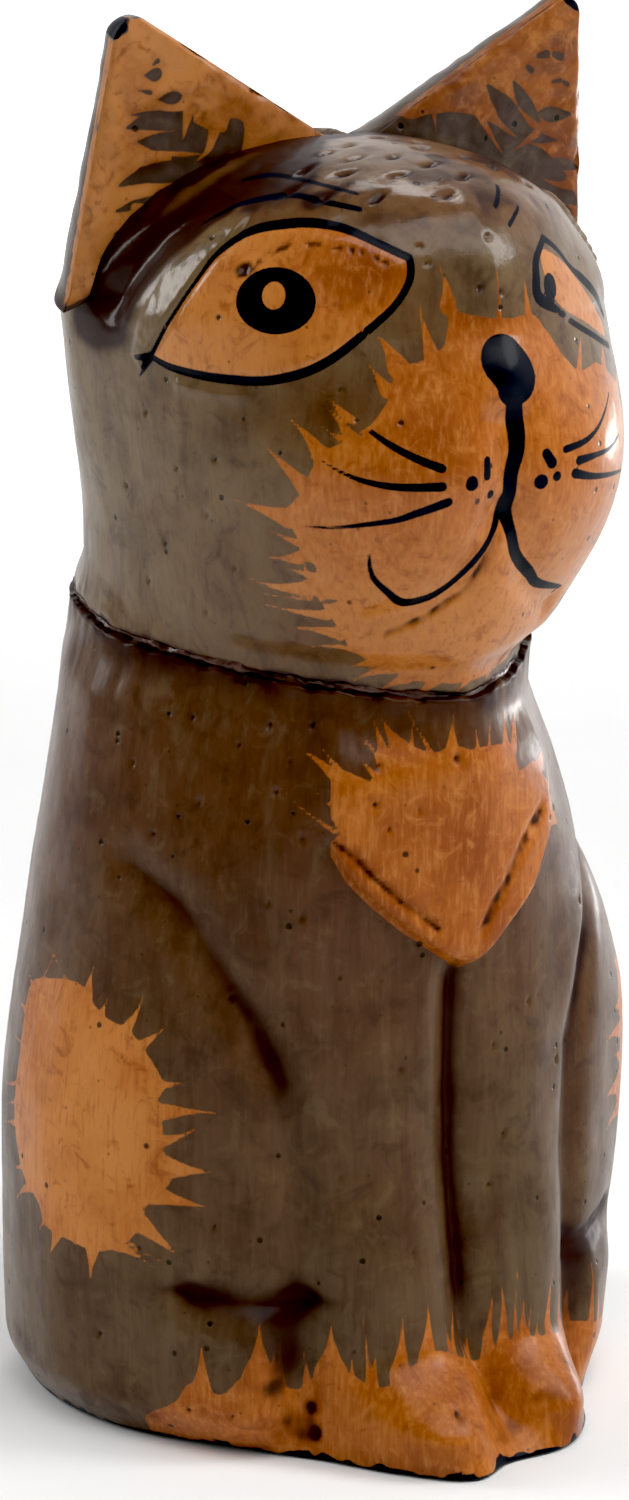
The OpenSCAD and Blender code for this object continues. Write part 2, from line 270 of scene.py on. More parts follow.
class Field:
    """Signed distance in millimetres to painted shapes, negative inside them."""

    REACH = 6.0

    def __init__(self, u, v, scale=1.0, thick=1.0):
        self.scale = scale
        self.thick = thick
        self.x = u.ravel() * scale
        self.y = v.ravel()
        self.d = np.full(self.x.size, self.REACH)
        self.shape = u.shape

    def near(self, x0, x1, y0, y1):
        r = self.REACH
        return np.nonzero((self.x > x0 - r) & (self.x < x1 + r) & (self.y > y0 - r) & (self.y < y1 + r))[0]

    def stroke(self, points, smooth=True):
        """A brush line through (u, v, width) points."""
        p = rounded(points) if smooth and len(points) > 2 else np.array(points, float)
        if len(p) == 1:
            p = np.repeat(p, 2, axis=0)
            p[1, 0] += 1e-3
        p = p * [self.scale, 1, 0.5 * self.thick]
        for (x0, y0, r0), (x1, y1, r1) in zip(p, p[1:]):
            k = self.near(min(x0, x1), max(x0, x1), min(y0, y1), max(y0, y1))
            dx, dy = x1 - x0, y1 - y0
            t = np.clip(((self.x[k] - x0) * dx + (self.y[k] - y0) * dy) / (dx * dx + dy * dy + 1e-12), 0, 1)
            d = np.hypot(self.x[k] - x0 - t * dx, self.y[k] - y0 - t * dy) - mix(r0, r1, t)
            self.d[k] = np.minimum(self.d[k], d)
        return self

    def strokes(self, lines, smooth=True):
        for line in lines:
            self.stroke(line, smooth)
        return self

    def spikes(self, flicks, bend=0.06, seed=3):
        """Brush flicks (u, v, tip u, tip v, width at the foot), drawn out to a fine point."""
        rng = np.random.default_rng(seed)
        for u0, v0, u1, v1, width in flicks:
            side = bend * rng.uniform(-1, 1)
            line = []
            for t in (0, 0.2, 0.45, 0.7, 1):
                lean = side * 4 * t * (1 - t)
                line.append((
                    mix(u0, u1, t) - lean * (v1 - v0) / self.scale,
                    mix(v0, v1, t) + lean * (u1 - u0) * self.scale,
                    max(width * (1 - t) ** 1.5, 0.12),
                ))
            self.stroke(line)
        return self

    def blob(self, points, smooth=True):
        p = rounded(points, closed=True) if smooth else np.array(points, float)
        p = p[:, :2] * [self.scale, 1]
        k = self.near(p[:, 0].min(), p[:, 0].max(), p[:, 1].min(), p[:, 1].max())
        x, y = self.x[k], self.y[k]
        d = np.full(k.size, 1e9)
        inside = np.zeros(k.size, bool)
        for (x0, y0), (x1, y1) in zip(p, np.roll(p, -1, axis=0)):
            dx, dy = x1 - x0, y1 - y0
            t = np.clip(((x - x0) * dx + (y - y0) * dy) / (dx * dx + dy * dy + 1e-12), 0, 1)
            d = np.minimum(d, np.hypot(x - x0 - t * dx, y - y0 - t * dy))
            if y0 != y1:
                inside ^= ((y0 > y) != (y1 > y)) & (x < x0 + (y - y0) * dx / dy)
        self.d[k] = np.minimum(self.d[k], np.where(inside, -d, d))
        return self

    def grid(self):
        return self.d.reshape(self.shape)


def line_glow(u, v, scale, lines, width):
    """1 on the lines, fading out over width."""
    f = Field(u, v, scale)
    for line in lines:
        f.stroke([(p[0], p[1], 0) for p in line])
    return swell(np.maximum(f.grid(), 0) / width)


def spots(u, v, scale, places):
    """1 in small round pits (u, v, radius), fading at their rims."""
    out = np.zeros(u.shape)
    for pu, pv, r in places:
        out = np.maximum(out, swell(np.hypot((u - pu) * scale, v - pv) / (0.8 * r)))
    return out


# ------------------------------------------------------------------ meshes
dowel_low, dowel_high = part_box("neck_dowel")
SHIFT = (
    (np.array(dowel_low) + np.array(dowel_high)) / 2 / MM
    - np.array([AXIS_X, DOWEL_Y, NECK_Z + DOWEL_Y * NECK_SLOPE])
)


def ring_mesh(name, rings, first, last, values, closed_rows=False):
    """Skin through rings of equal length, closed to a middle point at each end.

    rings has a point per row and column; values holds a number per point for each
    painted layer. With closed_rows the last ring joins the first instead.
    """
    m, n, _ = rings.shape
    points = rings.reshape(-1, 3)
    j, i = np.meshgrid(np.arange(m if closed_rows else m - 1), np.arange(n), indexing="ij")
    a = j * n + i
    b = j * n + (i + 1) % n
    up = ((j + 1) % m) * n
    faces = np.stack([a, b, up + (i + 1) % n, up + i], -1).reshape(-1, 4).tolist()
    layers = {key: value.ravel() for key, value in values.items()}
    if not closed_rows:
        ends = [(first, 0), (last, (m - 1) * n)]
        for k, (middle, start) in enumerate(ends):
            centre = len(points)
            points = np.vstack([points, [middle]])
            ring = start + np.arange(n)
            turned = np.roll(ring, -1)
            faces += (np.stack([turned, ring, np.full(n, centre)], -1) if k == 0 else np.stack(
                [ring, turned, np.full(n, centre)], -1)).tolist()
            layers = {key: np.append(value, value[start:start + n].mean()) for key, value in layers.items()}
    mesh = bpy.data.meshes.new(name)
    mesh.from_pydata(((points + SHIFT) * MM).tolist(), [], faces)
    mesh.polygons.foreach_set("use_smooth", [True] * len(mesh.polygons))
    for key, value in layers.items():
        mesh.attributes.new(key, "FLOAT", "POINT").data.foreach_set("value", value.astype(np.float32))
    mesh.update()
    obj = bpy.data.objects.new(name, mesh)
    bpy.context.collection.objects.link(obj)
    return obj


def to_xyz(a, r, z):
    return np.stack([AXIS_X + r * sind(a), AXIS_Y - r * cosd(a), z + 0 * a], -1)


def columns(count):
    """Directions round the axis, closer together over the face and its right side."""
    return np.interp(np.arange(count) / count, [0, 0.14, 0.8, 1], [-180, -115, 50, 180])


def carved_skin(x, y, z, amount=1.0):
    """Uneven knife and sandpaper finish under the paint."""
    return amount * (
        0.22 * noise(x, y, z * 0.6, 9) + 0.09 * noise(x, y, z * 0.7, 4, 3.3) + 0.03 * noise(x, y, z, 1.6, 5.1)
    )


# ------------------------------------------------------------------ body
PITS_BODY = [
    (-43, 103.7, 0.5), (-41, 95, 0.5), (-38, 99, 0.4), (-35, 89, 0.45), (-35, 78, 0.5), (-42, 80, 0.4),
    (-3, 99.5, 0.8), (-20, 93.8, 0.7), (-19, 99, 0.6), (-11, 93, 0.4), (-17, 90.4, 0.35), (45, 72.7, 0.5),
    (-33, 104, 0.4), (-76, 15.7, 0.7), (-33, 7.5, 1.3), (-32, 3.9, 1.0), (-57, 7, 0.5), (-51, 6.6, 0.45),
    (-48, 7, 0.45), (-8, 9, 0.5), (-14, 56, 0.4), (-27, 41, 0.35), (8, 37, 0.45), (12, 44, 0.4),
    (10, 57, 0.35), (-50, 66, 0.4), (-58, 93, 0.45), (-68, 88, 0.4), (-50, 101, 0.45), (-62, 104, 0.4),
    (-75, 97, 0.4), (-12, 30, 0.35), (20, 62, 0.4), (-52, 34, 0.4), (30, 52, 0.45), (70, 60, 0.5),
    (95, 70, 0.45), (120, 40, 0.5), (-125, 80, 0.45), (-140, 60, 0.5), (160, 90, 0.5), (-170, 45, 0.5),
]
TUFT_GROOVES = [
    [(-28, 88.6, 0), (-24, 86.4, 0), (-19, 82.8, 0), (-13, 79.3, 0), (-6, 75.6, 0)],
    [(24, 89, 0), (20, 87.3, 0), (16, 85, 0), (11, 80.4, 0), (7, 77, 0), (5, 74.5, 0)],
]
HAUNCH_CORE = [
    (-99, 62.8), (-90, 65), (-82, 65.5), (-76, 62.2), (-70, 60.9), (-66, 58.3), (-62, 53.7), (-64, 50.5),
    (-62, 48.2), (-62, 45.1), (-60, 40.9), (-63, 37.6), (-65, 36.1), (-66, 33.1), (-71, 29.3),
    (-77, 28.4), (-82, 29), (-88, 29.8), (-90, 32.5), (-95, 34.6), (-99, 38.1), (-101, 44.8),
    (-100, 51.9), (-100, 57.7),
]
HAUNCH_SPIKES = [
    (-97, 62, -92, 68, 0.6), (-92, 68, -85, 65.4, 0.4), (-80, 64, -79, 68.5, 2.2),
    (-76, 62, -75, 64.6, 1.2), (-71, 60, -67, 65.9, 2.3), (-67, 58.8, -62, 61.9, 1.6),
    (-64, 53.6, -58, 54.3, 2.2), (-64, 52.9, -61, 52.4, 0.8), (-63, 49.9, -52, 50.3, 2.8),
    (-63, 45.7, -56, 47.8, 2.2), (-62, 42.1, -52, 42, 3.8), (-64, 38.2, -52, 36.6, 3.2),
    (-63, 37.6, -56, 37.4, 1.2), (-66, 33.5, -58, 28.9, 2.9), (-66, 33.4, -62, 31.5, 0.8),
    (-71, 29.8, -64, 27.4, 1.8), (-68, 30.3, -62, 28.3, 0.6), (-76, 30.2, -77, 23.8, 3.4),
    (-84, 30.4, -87, 25.3, 2.8), (-87, 31.1, -90, 28.6, 1.3), (-90, 35.1, -100, 30.7, 2.8),
    (-95, 37.2, -102, 35, 1.5), (-98, 42.2, -108, 40.2, 1.4), (-98, 45.6, -107, 42.9, 1),
    (-98, 48.6, -110, 46, 1), (-98, 53.7, -104, 54, 1.1), (-98, 58, -106, 60, 1.4),
    (-96, 61.5, -103, 65, 1.2),
]
FEET_TOP = [
    (-69, 2.9), (-60, 7.7), (-56, 11.3), (-50, 10.2), (-46, 13), (-41, 12.9), (-36, 10.3), (-31, 12.9),
    (-26, 13.5), (-20, 11.7), (-13, 14.3), (-8, 15.6), (-2, 13.7), (3, 12.3), (7, 14.2), (12, 14.7),
    (17, 14.2), (27, 12.8), (39, 11), (47, 9.5), (56, 11), (64, 7), (72, 2.5), (60, -4), (0, -6),
    (-60, -4),
]
FEET_SPIKES = [
    (-54, 10, -54, 17.4, 3.6), (-43, 12.6, -43, 20.6, 5), (-40, 13.4, -40, 18, 1.2),
    (-39, 11.4, -39, 18.8, 1.4), (-34, 11.3, -35, 16.6, 1.3), (-29, 12.6, -29, 20, 5.4),
    (-25, 12.7, -25, 15.3, 0.9), (-22, 12, -23, 22, 0.8), (-21, 11.8, -20, 17.1, 1.3),
    (-16, 13, -15, 20.9, 3.2), (-10, 14.6, -9, 22.6, 3.2), (-4, 15.2, -5, 19.4, 1),
    (-3, 14.1, -1, 23.8, 1), (0, 13.4, 0, 18.2, 0.5), (1, 13.1, 2, 17, 0.9), (5, 12.2, 7, 21.7, 2.4),
    (8, 13.6, 9, 22.9, 2.4), (11, 14.4, 13, 24.5, 0.9), (13, 14, 14, 19.8, 2.2),
    (14, 14.1, 16, 19.2, 0.5), (16, 14.1, 18, 17.5, 0.6), (20, 13, 24, 22.6, 2.4),
    (25, 12.5, 28, 21, 2.4), (30, 11.5, 32, 18.5, 2), (36, 10.5, 37, 17.4, 2), (42, 10.5, 42, 19.5, 1.3),
    (45, 10, 44, 17.2, 1.2), (50, 9.2, 48, 15, 1.6), (56, 9, 57, 18, 2.6), (63, 6, 64, 13, 2.2),
]
TUFT_CORE = [
    (-29, 96.6), (-29, 98), (-26, 98.5), (-21, 97), (-19, 98.4), (-20, 100.9), (-16, 101.4), (-12, 101.6),
    (-8, 100.4), (-3, 101.3), (0, 100.6), (5, 100.6), (13, 99.9), (15, 95.8), (22, 96.3), (27, 93.2),
    (35, 88.5), (37, 85), (27, 86), (24, 83.5), (19, 78.6), (12, 72.8), (5, 69.6), (1, 68.6), (-6, 71.8),
    (-14, 75.5), (-21, 79.5), (-26, 83), (-29, 86.6), (-29, 88.6), (-27, 90), (-29, 92),
]
TUFT_SPIKES = [
    (-29, 98, -37, 101.2, 1.5), (-27, 98, -31, 101.2, 1.4), (-28, 90.1, -40, 95.8, 0.7),
    (-29, 93.6, -32, 95.2, 0.5), (-20, 101, -25, 103, 0.4), (-20, 101, -24, 104.9, 0.6),
    (-20, 97.8, -24, 101, 0.9), (-18, 101, -20, 105.6, 1.6), (-14, 100.8, -18, 105.6, 3.2),
    (-12, 101, -12, 106.1, 0.8), (-8, 100.2, -12, 105.9, 0.9), (-4, 100, -3, 105.6, 2.6),
    (2, 100, 2, 103, 1.2), (5, 99.8, 9, 106.6, 0.6), (11, 99, 15, 104.6, 2.4), (14, 99, 25, 105, 1.8),
    (22, 94.6, 36, 99, 2.6), (33, 89, 38, 94, 1.4),
]


def build_body():
    count, rows, groove_rows = 444, 205, 9
    a = columns(count)[None, :]
    ragged_lip = 0.3 * noise(a * 0.7, 0 * a, 0 * a, 2.3, 1.2) + 0.25 * noise(a * 0.7, 0 * a, 0 * a, 0.9, 6.2)
    lip = seam_z(a) - SEAM_HALF - ragged_lip
    # rounded lower edge first, then even rows up to the lip of the seam
    low = np.array([0, 0.1, 0.3, 0.6])[:, None] * np.ones_like(a)
    share = (np.linspace(0, 1, rows) ** 1.0)[:, None]
    z_side = mix(1.0, lip, share)
    z = np.vstack([low, z_side])
    bevel = np.vstack([np.array([0.9, 0.5, 0.22, 0.06])[:, None] * np.ones_like(a), np.zeros_like(z_side)])
    a = a + 0 * z
    near = ease((z - lip + 9) / 9)
    r = mix(body_radius(a, z), neck_radius(a) + 0.6, near) - bevel
    # lower side of the seam groove
    u = (np.arange(1, groove_rows + 1) / groove_rows)[:, None]
    a_g = columns(count)[None, :] + 0 * u
    z_g = mix(lip, seam_z(a_g), u)
    r_g = neck_radius(a_g) + 0.6 - (SEAM_DEPTH + 0.6) * u**1.3
    a, z, r = np.vstack([a, a_g]), np.vstack([z, z_g]), np.vstack([r, r_g])
    side = np.abs(a)

    # relief that the CAD leaves out
    p = to_xyz(a, r, z)
    ground = ease(z / 3)
    r += carved_skin(p[..., 0], p[..., 1], p[..., 2]) * ground
    seam_near = swell((z - lip) / 1.6)
    r += 0.22 * seam_near * noise(p[..., 0], p[..., 1], p[..., 2], 1.7, 9.2)
    grooves = np.maximum(
        line_glow(a, z, 0.75, TUFT_GROOVES[:1], 0.6), line_glow(a, z, 0.75, TUFT_GROOVES[1:], 1.0)
    )
    ragged = 1 + 0.4 * noise(a * 0.7, z, 0 * z, 1.2, 2.2)
    r -= 0.6 * grooves * ragged
    thigh = to_path(side, z, THIGH_PATH)
    paw = to_path(side, z, HIND_TOE_PATH)
    wave = noise(a * 0.7, z, 0 * z, 5, 6.1)
    paw_line = (
        np.abs(z - 23.2 - 0.04 * (side - 34) - 0.7 * wave)
        + 0.3 * np.maximum(np.abs(side - 46) - 10, 0)
    )
    split_mid = 7 * (1 - ease(z / 18))
    split = np.abs(a - split_mid) * 0.75
    r += (1.9 * swell(paw / 2.6) + 1.1 * swell(thigh / 3) * (0.6 + 0.4 * ease((z - 60) / 15))) * ground
    cut = (
        0.25 * swell(thigh / 0.8) * ease((z - 44) / 20) + 0.55 * swell(paw_line / 1.5)
        + 0.35 * swell(split / 0.8) * ease((70 - z) / 6)
    )
    r -= cut * (0.8 + 0.6 * noise(a * 0.7, z, 0 * z, 2.2, 7.7)) * ground
    pits = spots(a, z, 0.75, PITS_BODY)
    r -= 0.7 * pits

    # paint
    orange = Field(a, z, 0.75)
    orange.blob(HAUNCH_CORE).spikes(HAUNCH_SPIKES)
    orange.blob(FEET_TOP).spikes(FEET_SPIKES, bend=0.04)
    orange.blob(TUFT_CORE, smooth=False).spikes(TUFT_SPIKES)
    # the same patch on the left side
    orange.blob([(-u, v) for u, v in HAUNCH_CORE])
    orange.spikes([(-u0, v0, -u1, v1, w) for u0, v0, u1, v1, w in HAUNCH_SPIKES], seed=9)
    # wax and stains: pits, tuft grooves, the paw line's cut, the dark seam with a darker band below it,
    # smudges on the feet; painted shade: along the thigh groove, in the split between the forelegs, in the
    # crease by the hind foot and spreading under the paw line
    dark = (
        0.7 * swell(thigh / 1.6) * swell((z - 66) / 16) * (1 + 0.6 * wave)
        + 0.28 * swell(thigh / 2.2) * ease((60 - z) / 20)
        + 0.3 * swell(thigh / 5) * ease((z - 40) / 20)
        + 0.4 * swell((side - 38.5) * 0.7 / 2 + 0.5 * wave) * ease((24 - z) / 2) * ease((z - 8) / 8)
        + 0.3 * ease(noise(p[..., 0], p[..., 1], p[..., 2], 3.6, 8.8) * 1.6) * ease((15 - z) / 4)
        + 0.24 * ease(noise(p[..., 0], p[..., 1], p[..., 2] * 0.6, 1.9, 2.8) * 1.6) * ease((17 - z) / 6)
        + 0.3 * swell(np.hypot((a + 40) / 5, (z - 13) / 5)) + 0.32 * swell(np.hypot((a - 3) / 4, (z - 8) / 6))
        + (0.75 + 0.6 * wave) * swell(paw_line / 2.1) + 0.3 * swell(paw_line / 4)
        + 0.35 * swell(np.hypot((side - 43) * 0.7 / 7, (z - 19) / 5))
        + (0.75 * swell(split / 1.5) + 0.35 * swell((split - 1.5) / 2.5))
        * ease((72 - z) / 4) * ease((z - 12) / 14)
        + 0.75 * ease((z - lip + 0.3 + 0.8 * noise(a * 0.7, z, 0 * z, 1.8, 1.1)) / 0.9)
        + (0.6 + 0.35 * noise(a * 0.7, z, 0 * z, 4, 3.6)) * swell((z - lip) / 4.5)
        + 0.95 * grooves * (0.75 + 0.7 * noise(a * 0.7, z, 0 * z, 1.1, 5.4))
        + 0.9 * pits
    )
    ink = (
        0.8 * (z - 1.1) + 0.7 * noise(p[..., 0], p[..., 1], p[..., 2], 3, 4.4)
        + 0.5 * noise(p[..., 0], p[..., 1], p[..., 2], 1.1, 2.4)
    )
    tone = (
        0.25 + 0.45 * ease((70 - z) / 50) + 0.25 * swell((a + 2 - 18) / 9) * ease((66 - z) / 6)
        - 0.3 * swell((z - 96) / 16)
    )
    tone = tone + 0.3 * ease((np.abs(a + 10) - 95) / 40)
    # low on the feet round angle 22 the orange is painted deeper: painted shade on that side of the feet
    shade = (
        0.45 + 0.5 * swell(np.hypot((a + 77) / 24, (z - 44) / 22)) + 0.05 * ease((18 - z) / 8)
        + 0.2 * noise(p[..., 0], p[..., 1], p[..., 2], 6, 3.9)
        - 0.28 * swell(np.hypot((a - 2) / 26, (z - 84) / 18)) * (z > 60)
        - 0.2 * swell(np.hypot((a - 22) / 20, (z - 8) / 12))
    )

    # the neck face and the dowel's hole close the top
    cap_rows = [0.75, 0.45, 0.15]
    xyz = to_xyz(a, r, z)
    rim = xyz[-1]
    angle = columns(count)
    hole = np.stack([AXIS_X + DOWEL_HOLE_R * sind(angle), DOWEL_Y - DOWEL_HOLE_R * cosd(angle), 0 * angle], -1)
    extra = []
    for share in cap_rows + [0]:
        ring = mix(hole, rim, share)
        ring[:, 2] = NECK_Z + NECK_SLOPE * ring[:, 1]
        extra.append(ring)
    floor_ring = hole.copy()
    floor_z = NECK_Z + NECK_SLOPE * DOWEL_Y - DOWEL_HALF
    floor_ring[:, 2] = floor_z
    extra.append(floor_ring)
    rings = np.concatenate([xyz, np.array(extra)])
    pad = len(extra)

    def padded(v, fill):
        return np.vstack([v, np.full((pad, count), fill)])

    values = {
        "orange": padded(orange.grid(), 6), "ink": padded(ink, 6), "wax_and_shade": padded(np.clip(dark, 0, 1), 1),
        "tone": padded(np.clip(tone, 0, 1), 0), "shade": padded(shade, 0.5),
    }
    return ring_mesh(
        "cat_body", rings, (AXIS_X, AXIS_Y, 0), (AXIS_X, DOWEL_Y, floor_z), values,
    )


# ------------------------------------------------------------------ head
LID_TOP = [
    (-67, 153.9), (-64, 156.6), (-60, 160.3), (-56, 164.5), (-53, 167.7), (-49, 170), (-45, 171.3),
    (-40, 172), (-33, 172.4), (-26, 171.7), (-20, 169.9), (-15, 168.2),
]
LID_LOW = [
    (-15, 168.2), (-15, 166.2), (-16, 164.3), (-18.5, 161.8), (-23.5, 158.6), (-28.5, 155.7),
    (-33, 153.8), (-38, 152.6), (-43, 152), (-50, 152), (-55, 152.2), (-62, 152.8), (-67, 153.9),
]
LID_TOP_WIDTHS = [0.7, 0.5, 0.5, 0.5, 0.7, 1, 1.15, 1.2, 1.2, 1.15, 1.1, 1.1]
LID_LOW_WIDTHS = [1.1, 1.1, 1, 1, 1.15, 1.25, 1.3, 1.3, 1.3, 1.3, 1.25, 1.1, 0.9]
LID_CREASE = [
    (-47, 166, 1.1), (-44, 167.2, 1.1), (-41, 168.5, 0.7), (-38, 169.3, 0.8), (-34, 169.7, 0.8),
    (-30, 169.7, 0.8), (-26, 169.3, 0.5), (-21, 168.3, 0.7), (-19, 167.5, 0.9),
]
FAR_EYE = [
    (13, 168), (21, 165.9), (26, 163.3), (31, 159.9), (36, 156.5), (35, 154.5), (25, 157.7), (17, 160.2),
    (13, 164),
]
FAR_LINES = [
    [(15, 169.4, 0.8), (11, 167.2, 1.1), (10, 164.8, 1.4), (10, 162.1, 1.5), (15, 160.1, 0.9)],
    [(15, 160.1, 0.8), (22, 157.3, 0.8), (32, 154.2, 0.8), (38, 153, 0.8)],
    [(15, 169.4, 0.8), (20, 167.4, 0.7), (25, 164.6, 0.8), (30, 162.6, 1.3), (35, 160.2, 1.3), (40, 157, 1)],
    [(14, 163, 2.6), (14, 163.3, 2.6)],
]
INK_LINES = [
    [(-71, 153.6, 0.5), (-67, 153.9, 1)], [(-71, 151, 0.3), (-67, 153.9, 1)],
    [
        (-60, 171.2, 0.2), (-56, 172.6, 0.4), (-51, 174, 0.5), (-43, 175.1, 0.6), (-37, 175.5, 0.55),
        (-31, 175, 0.6), (-23, 174.1, 0.55),
    ],
    [
        (-55, 176.5, 0.2), (-50, 177.1, 0.4), (-44, 177.4, 0.4), (-35, 177.1, 0.35), (-28, 176.5, 0.35),
        (-23, 175.9, 0.35),
    ],
    [(11, 176.1, 0.3), (5, 173.9, 0.45)], [(11, 173.6, 0.3), (6, 171.6, 0.5)],
    [(0, 154.7, 5.3), (2, 152.3, 5.2), (1, 151, 3.6)],
    [
        (1, 150.5, 1.9), (2, 146.2, 1.9), (2, 142.8, 1.6), (1, 139.5, 1.5), (1, 136.4, 1.5),
        (1, 134.2, 1.6), (2, 131.5, 1.5), (4, 128.1, 1.5), (9, 124.9, 1.2), (13, 122.9, 1),
        (23, 121.1, 0.5),
    ],
    [
        (0, 136.4, 0.9), (-1, 132.9, 0.7), (-3, 129.3, 0.75), (-6, 126.2, 0.75), (-9, 124, 0.8),
        (-12, 122.7, 0.9), (-16, 122.3, 1), (-19, 123.9, 0.8), (-22, 126.3, 0.6), (-23, 129.5, 0.35),
    ],
    [(-7, 139, 1.5), (-7, 139.3, 1.3)], [(-4, 141.9, 0.9), (-4, 139.8, 1)], [(-3, 137.2, 1)],
    [(7, 142, 1.1), (8, 140.7, 1.3)], [(6, 138.3, 1.6)], [(9, 138.8, 1.1)],
    [(-23, 146.2, 0.5), (-20, 144.5, 0.7), (-16, 142.7, 0.85), (-12, 141.3, 0.95)],
    [(-31, 142.2, 0.2), (-28, 140.9, 0.35), (-24, 139.7, 0.6), (-19, 139, 0.8), (-12, 138.9, 1)],
    [
        (-35, 133, 0.2), (-29, 133.2, 0.35), (-24, 133.8, 0.55), (-19, 134.5, 0.7), (-16, 135.4, 0.85),
        (-11, 136.8, 1),
    ],
    [(11, 142.2, 0.85), (16, 142.8, 0.65), (20, 144, 0.45), (24, 145.8, 0.35), (28, 147.8, 0.25)],
    [(14, 140.4, 1), (18, 140.6, 0.7), (24, 140.9, 0.45), (30, 142, 0.35)],
    [(13, 138.8, 1.1), (19, 137.7, 0.7), (34, 136.5, 0.35)],
]
FACE_CORE = [
    (-9, 163.4), (-9, 159.9), (-10, 156.9), (-12, 155.6), (-15, 154.8), (-19, 154.6), (-19, 152.4),
    (-20, 150), (-22, 147.8), (-24, 146.3), (-26, 146.6), (-27, 145), (-31, 143.2), (-33, 140.6),
    (-34, 138), (-38, 134.8), (-35, 130.8), (-35, 128.5), (-33, 124.4), (-30, 120.7), (-27, 117.9),
    (-25, 115.1), (-19, 112.6), (-16, 111.2), (-11, 110.2), (-3, 109.6), (6, 109.8), (18, 110.8),
    (27, 116), (33, 122), (38, 128), (42, 134), (40, 142), (36, 148), (30, 150.6), (25, 152.2),
    (18, 151.5), (14, 154.4), (12, 157), (9, 159.6), (7, 160.2), (3, 159.9), (-1, 160.1), (-4, 160.6),
    (-7, 161.1),
]
FACE_SPIKES = [
    (-9, 162, -10, 167.3, 2.4), (0, 159.4, 0, 168.2, 1), (7, 158.9, 7, 166.4, 1.8),
    (-12, 154.8, -14, 162.6, 2.6), (-18, 154.2, -22, 159, 3), (-20, 151.3, -23, 154.7, 2),
    (-26, 147.3, -31, 151.2, 1.6), (-27, 146.4, -30, 149, 1.4), (-27, 144.8, -31, 146.7, 1.2),
    (-31, 142.8, -37, 147.6, 2.6), (-33, 137.9, -42, 144, 3), (-31, 140.3, -33, 142.6, 1),
    (-37, 134, -48, 135.7, 2.8), (-35, 130.6, -41, 132.1, 1.1), (-35, 128.5, -41, 128.2, 2),
    (-33, 124.2, -46, 124.8, 2.6), (-34, 126.2, -39, 127, 0.8), (-30, 120.2, -43, 121.2, 1.6),
    (-33, 122.5, -44, 122.9, 0.5), (-27, 117.4, -38, 118, 2), (-24, 115.1, -35, 114.9, 1.1),
    (-20, 113.1, -29, 111.5, 1.8), (-17, 112, -24, 110, 1.6), (-12, 110.8, -18, 108.6, 2),
    (-6, 110.4, -11, 108, 2), (2, 110.5, -2, 108.2, 1.6), (9, 110.5, 6, 108.3, 1.4),
    (18, 151.3, 23, 156.8, 1.5), (29, 151.5, 32, 155, 1.8), (36, 147, 46, 150, 2.6),
    (39, 142, 50, 143.5, 2.4), (41, 137, 51, 136.5, 2.4), (40, 131, 49, 129, 2),
    (36, 125.5, 45, 122.5, 2.2), (31, 119.5, 39, 116.5, 1.8), (25, 114, 31, 110.5, 1.8),
]
BROW_FACET = [
    (-73, 154), (-69, 160), (-63, 166), (-57, 171), (-51, 174), (-47, 173), (-50, 170), (-54, 167),
    (-58, 162.5), (-62, 158.5), (-67, 154.4), (-70, 152),
]
GREY_LENSES = [
    [(-34, 128, 0.3), (-33, 127.3, 1.3), (-32, 126.6, 0.3)],
    [(-31, 122.2, 0.2), (-29.5, 122.3, 0.7), (-28, 122.4, 0.2)],
    [(-28, 111.6, 0.3), (-24, 111.6, 1.3), (-20, 112.3, 0.3)],
    [(-20, 110, 0.3), (-17, 110.5, 0.9), (-14, 111.4, 0.2)],
    [(-27, 147.2, 0.3), (-25.5, 146.5, 0.8), (-24.5, 145.6, 0.3)],
]
MOUTH_GROOVE = [(-18, 117.6), (-12, 119.8), (-8, 122.1), (-5, 123.9), (-3, 127), (-1, 131.3)]
HEAD_PITS = [
    (-3, 164.2, 0.55), (1, 163.6, 0.55), (0, 170.5, 0.45), (-13, 169.5, 0.4), (-12, 167.5, 0.35),
    (-46, 166.3, 0.9), (-28, 151.5, 0.35), (-52, 141, 0.45), (-55, 133, 0.4), (-49, 126, 0.4),
    (-62, 139, 0.35), (-70, 146, 0.4), (-68, 128, 0.4), (-80, 135, 0.45), (-58, 119, 0.4),
    (-75, 122, 0.4), (60, 140, 0.45), (75, 128, 0.45), (100, 150, 0.45), (140, 130, 0.5),
    (-120, 140, 0.45), (-150, 125, 0.5), (170, 150, 0.5),
]
HOLLOW_PATH = [(77, 157), (73, 163), (67, 169), (59, 174), (50, 177.5), (36, 179)]
# scooped dents over the crown: x, y, length, width, turn
CROWN_DENTS = [
    (-9, -12, 4, 1.2, 10), (-13, -16, 3.4, 1.1, -5), (-4, -14, 3, 1.1, 20), (-16, -11, 3.2, 1, 0),
    (3, -10, 3, 1.3, 35), (-1, -18, 3.2, 1, 10), (7, -14, 2.6, 1.2, 40), (10, -17, 2.2, 1.1, 50),
    (12, -13, 2.4, 1.1, 45), (-20, -14, 3, 1, -8), (-7, -20, 3.4, 1.1, 5), (-18, -19, 3, 1, 0),
    (2, -22, 2.8, 1, 15), (5, -6, 2.6, 1.2, 30), (-6, -6, 3, 1.1, 12), (14, -19, 2, 1, 55),
    (-12, -23, 3, 0.9, 5), (-3, -26, 2.6, 0.9, 10), (-11, -8, 3, 1, 5), (1, -2, 2.4, 1, 10),
]


def ear_matrix(side):
    """Turns and place of an ear in the drawing frame, as in the CAD: points are m @ p + t."""
    def turn(axis, deg):
        c, s = math.cos(math.radians(deg)), math.sin(math.radians(deg))
        return np.array({
            "x": [[1, 0, 0], [0, c, -s], [0, s, c]],
            "y": [[c, 0, s], [0, 1, 0], [-s, 0, c]],
            "z": [[c, -s, 0], [s, c, 0], [0, 0, 1]],
        }[axis])

    m = turn("y", EAR_SLOPE) @ turn("z", EAR_TURN) @ turn("x", EAR_LEAN)
    flip = np.diag([side, 1, 1])
    return flip @ m, flip @ np.array(EAR_SEAT) + [EAR_PLANE_X, 0, 0]


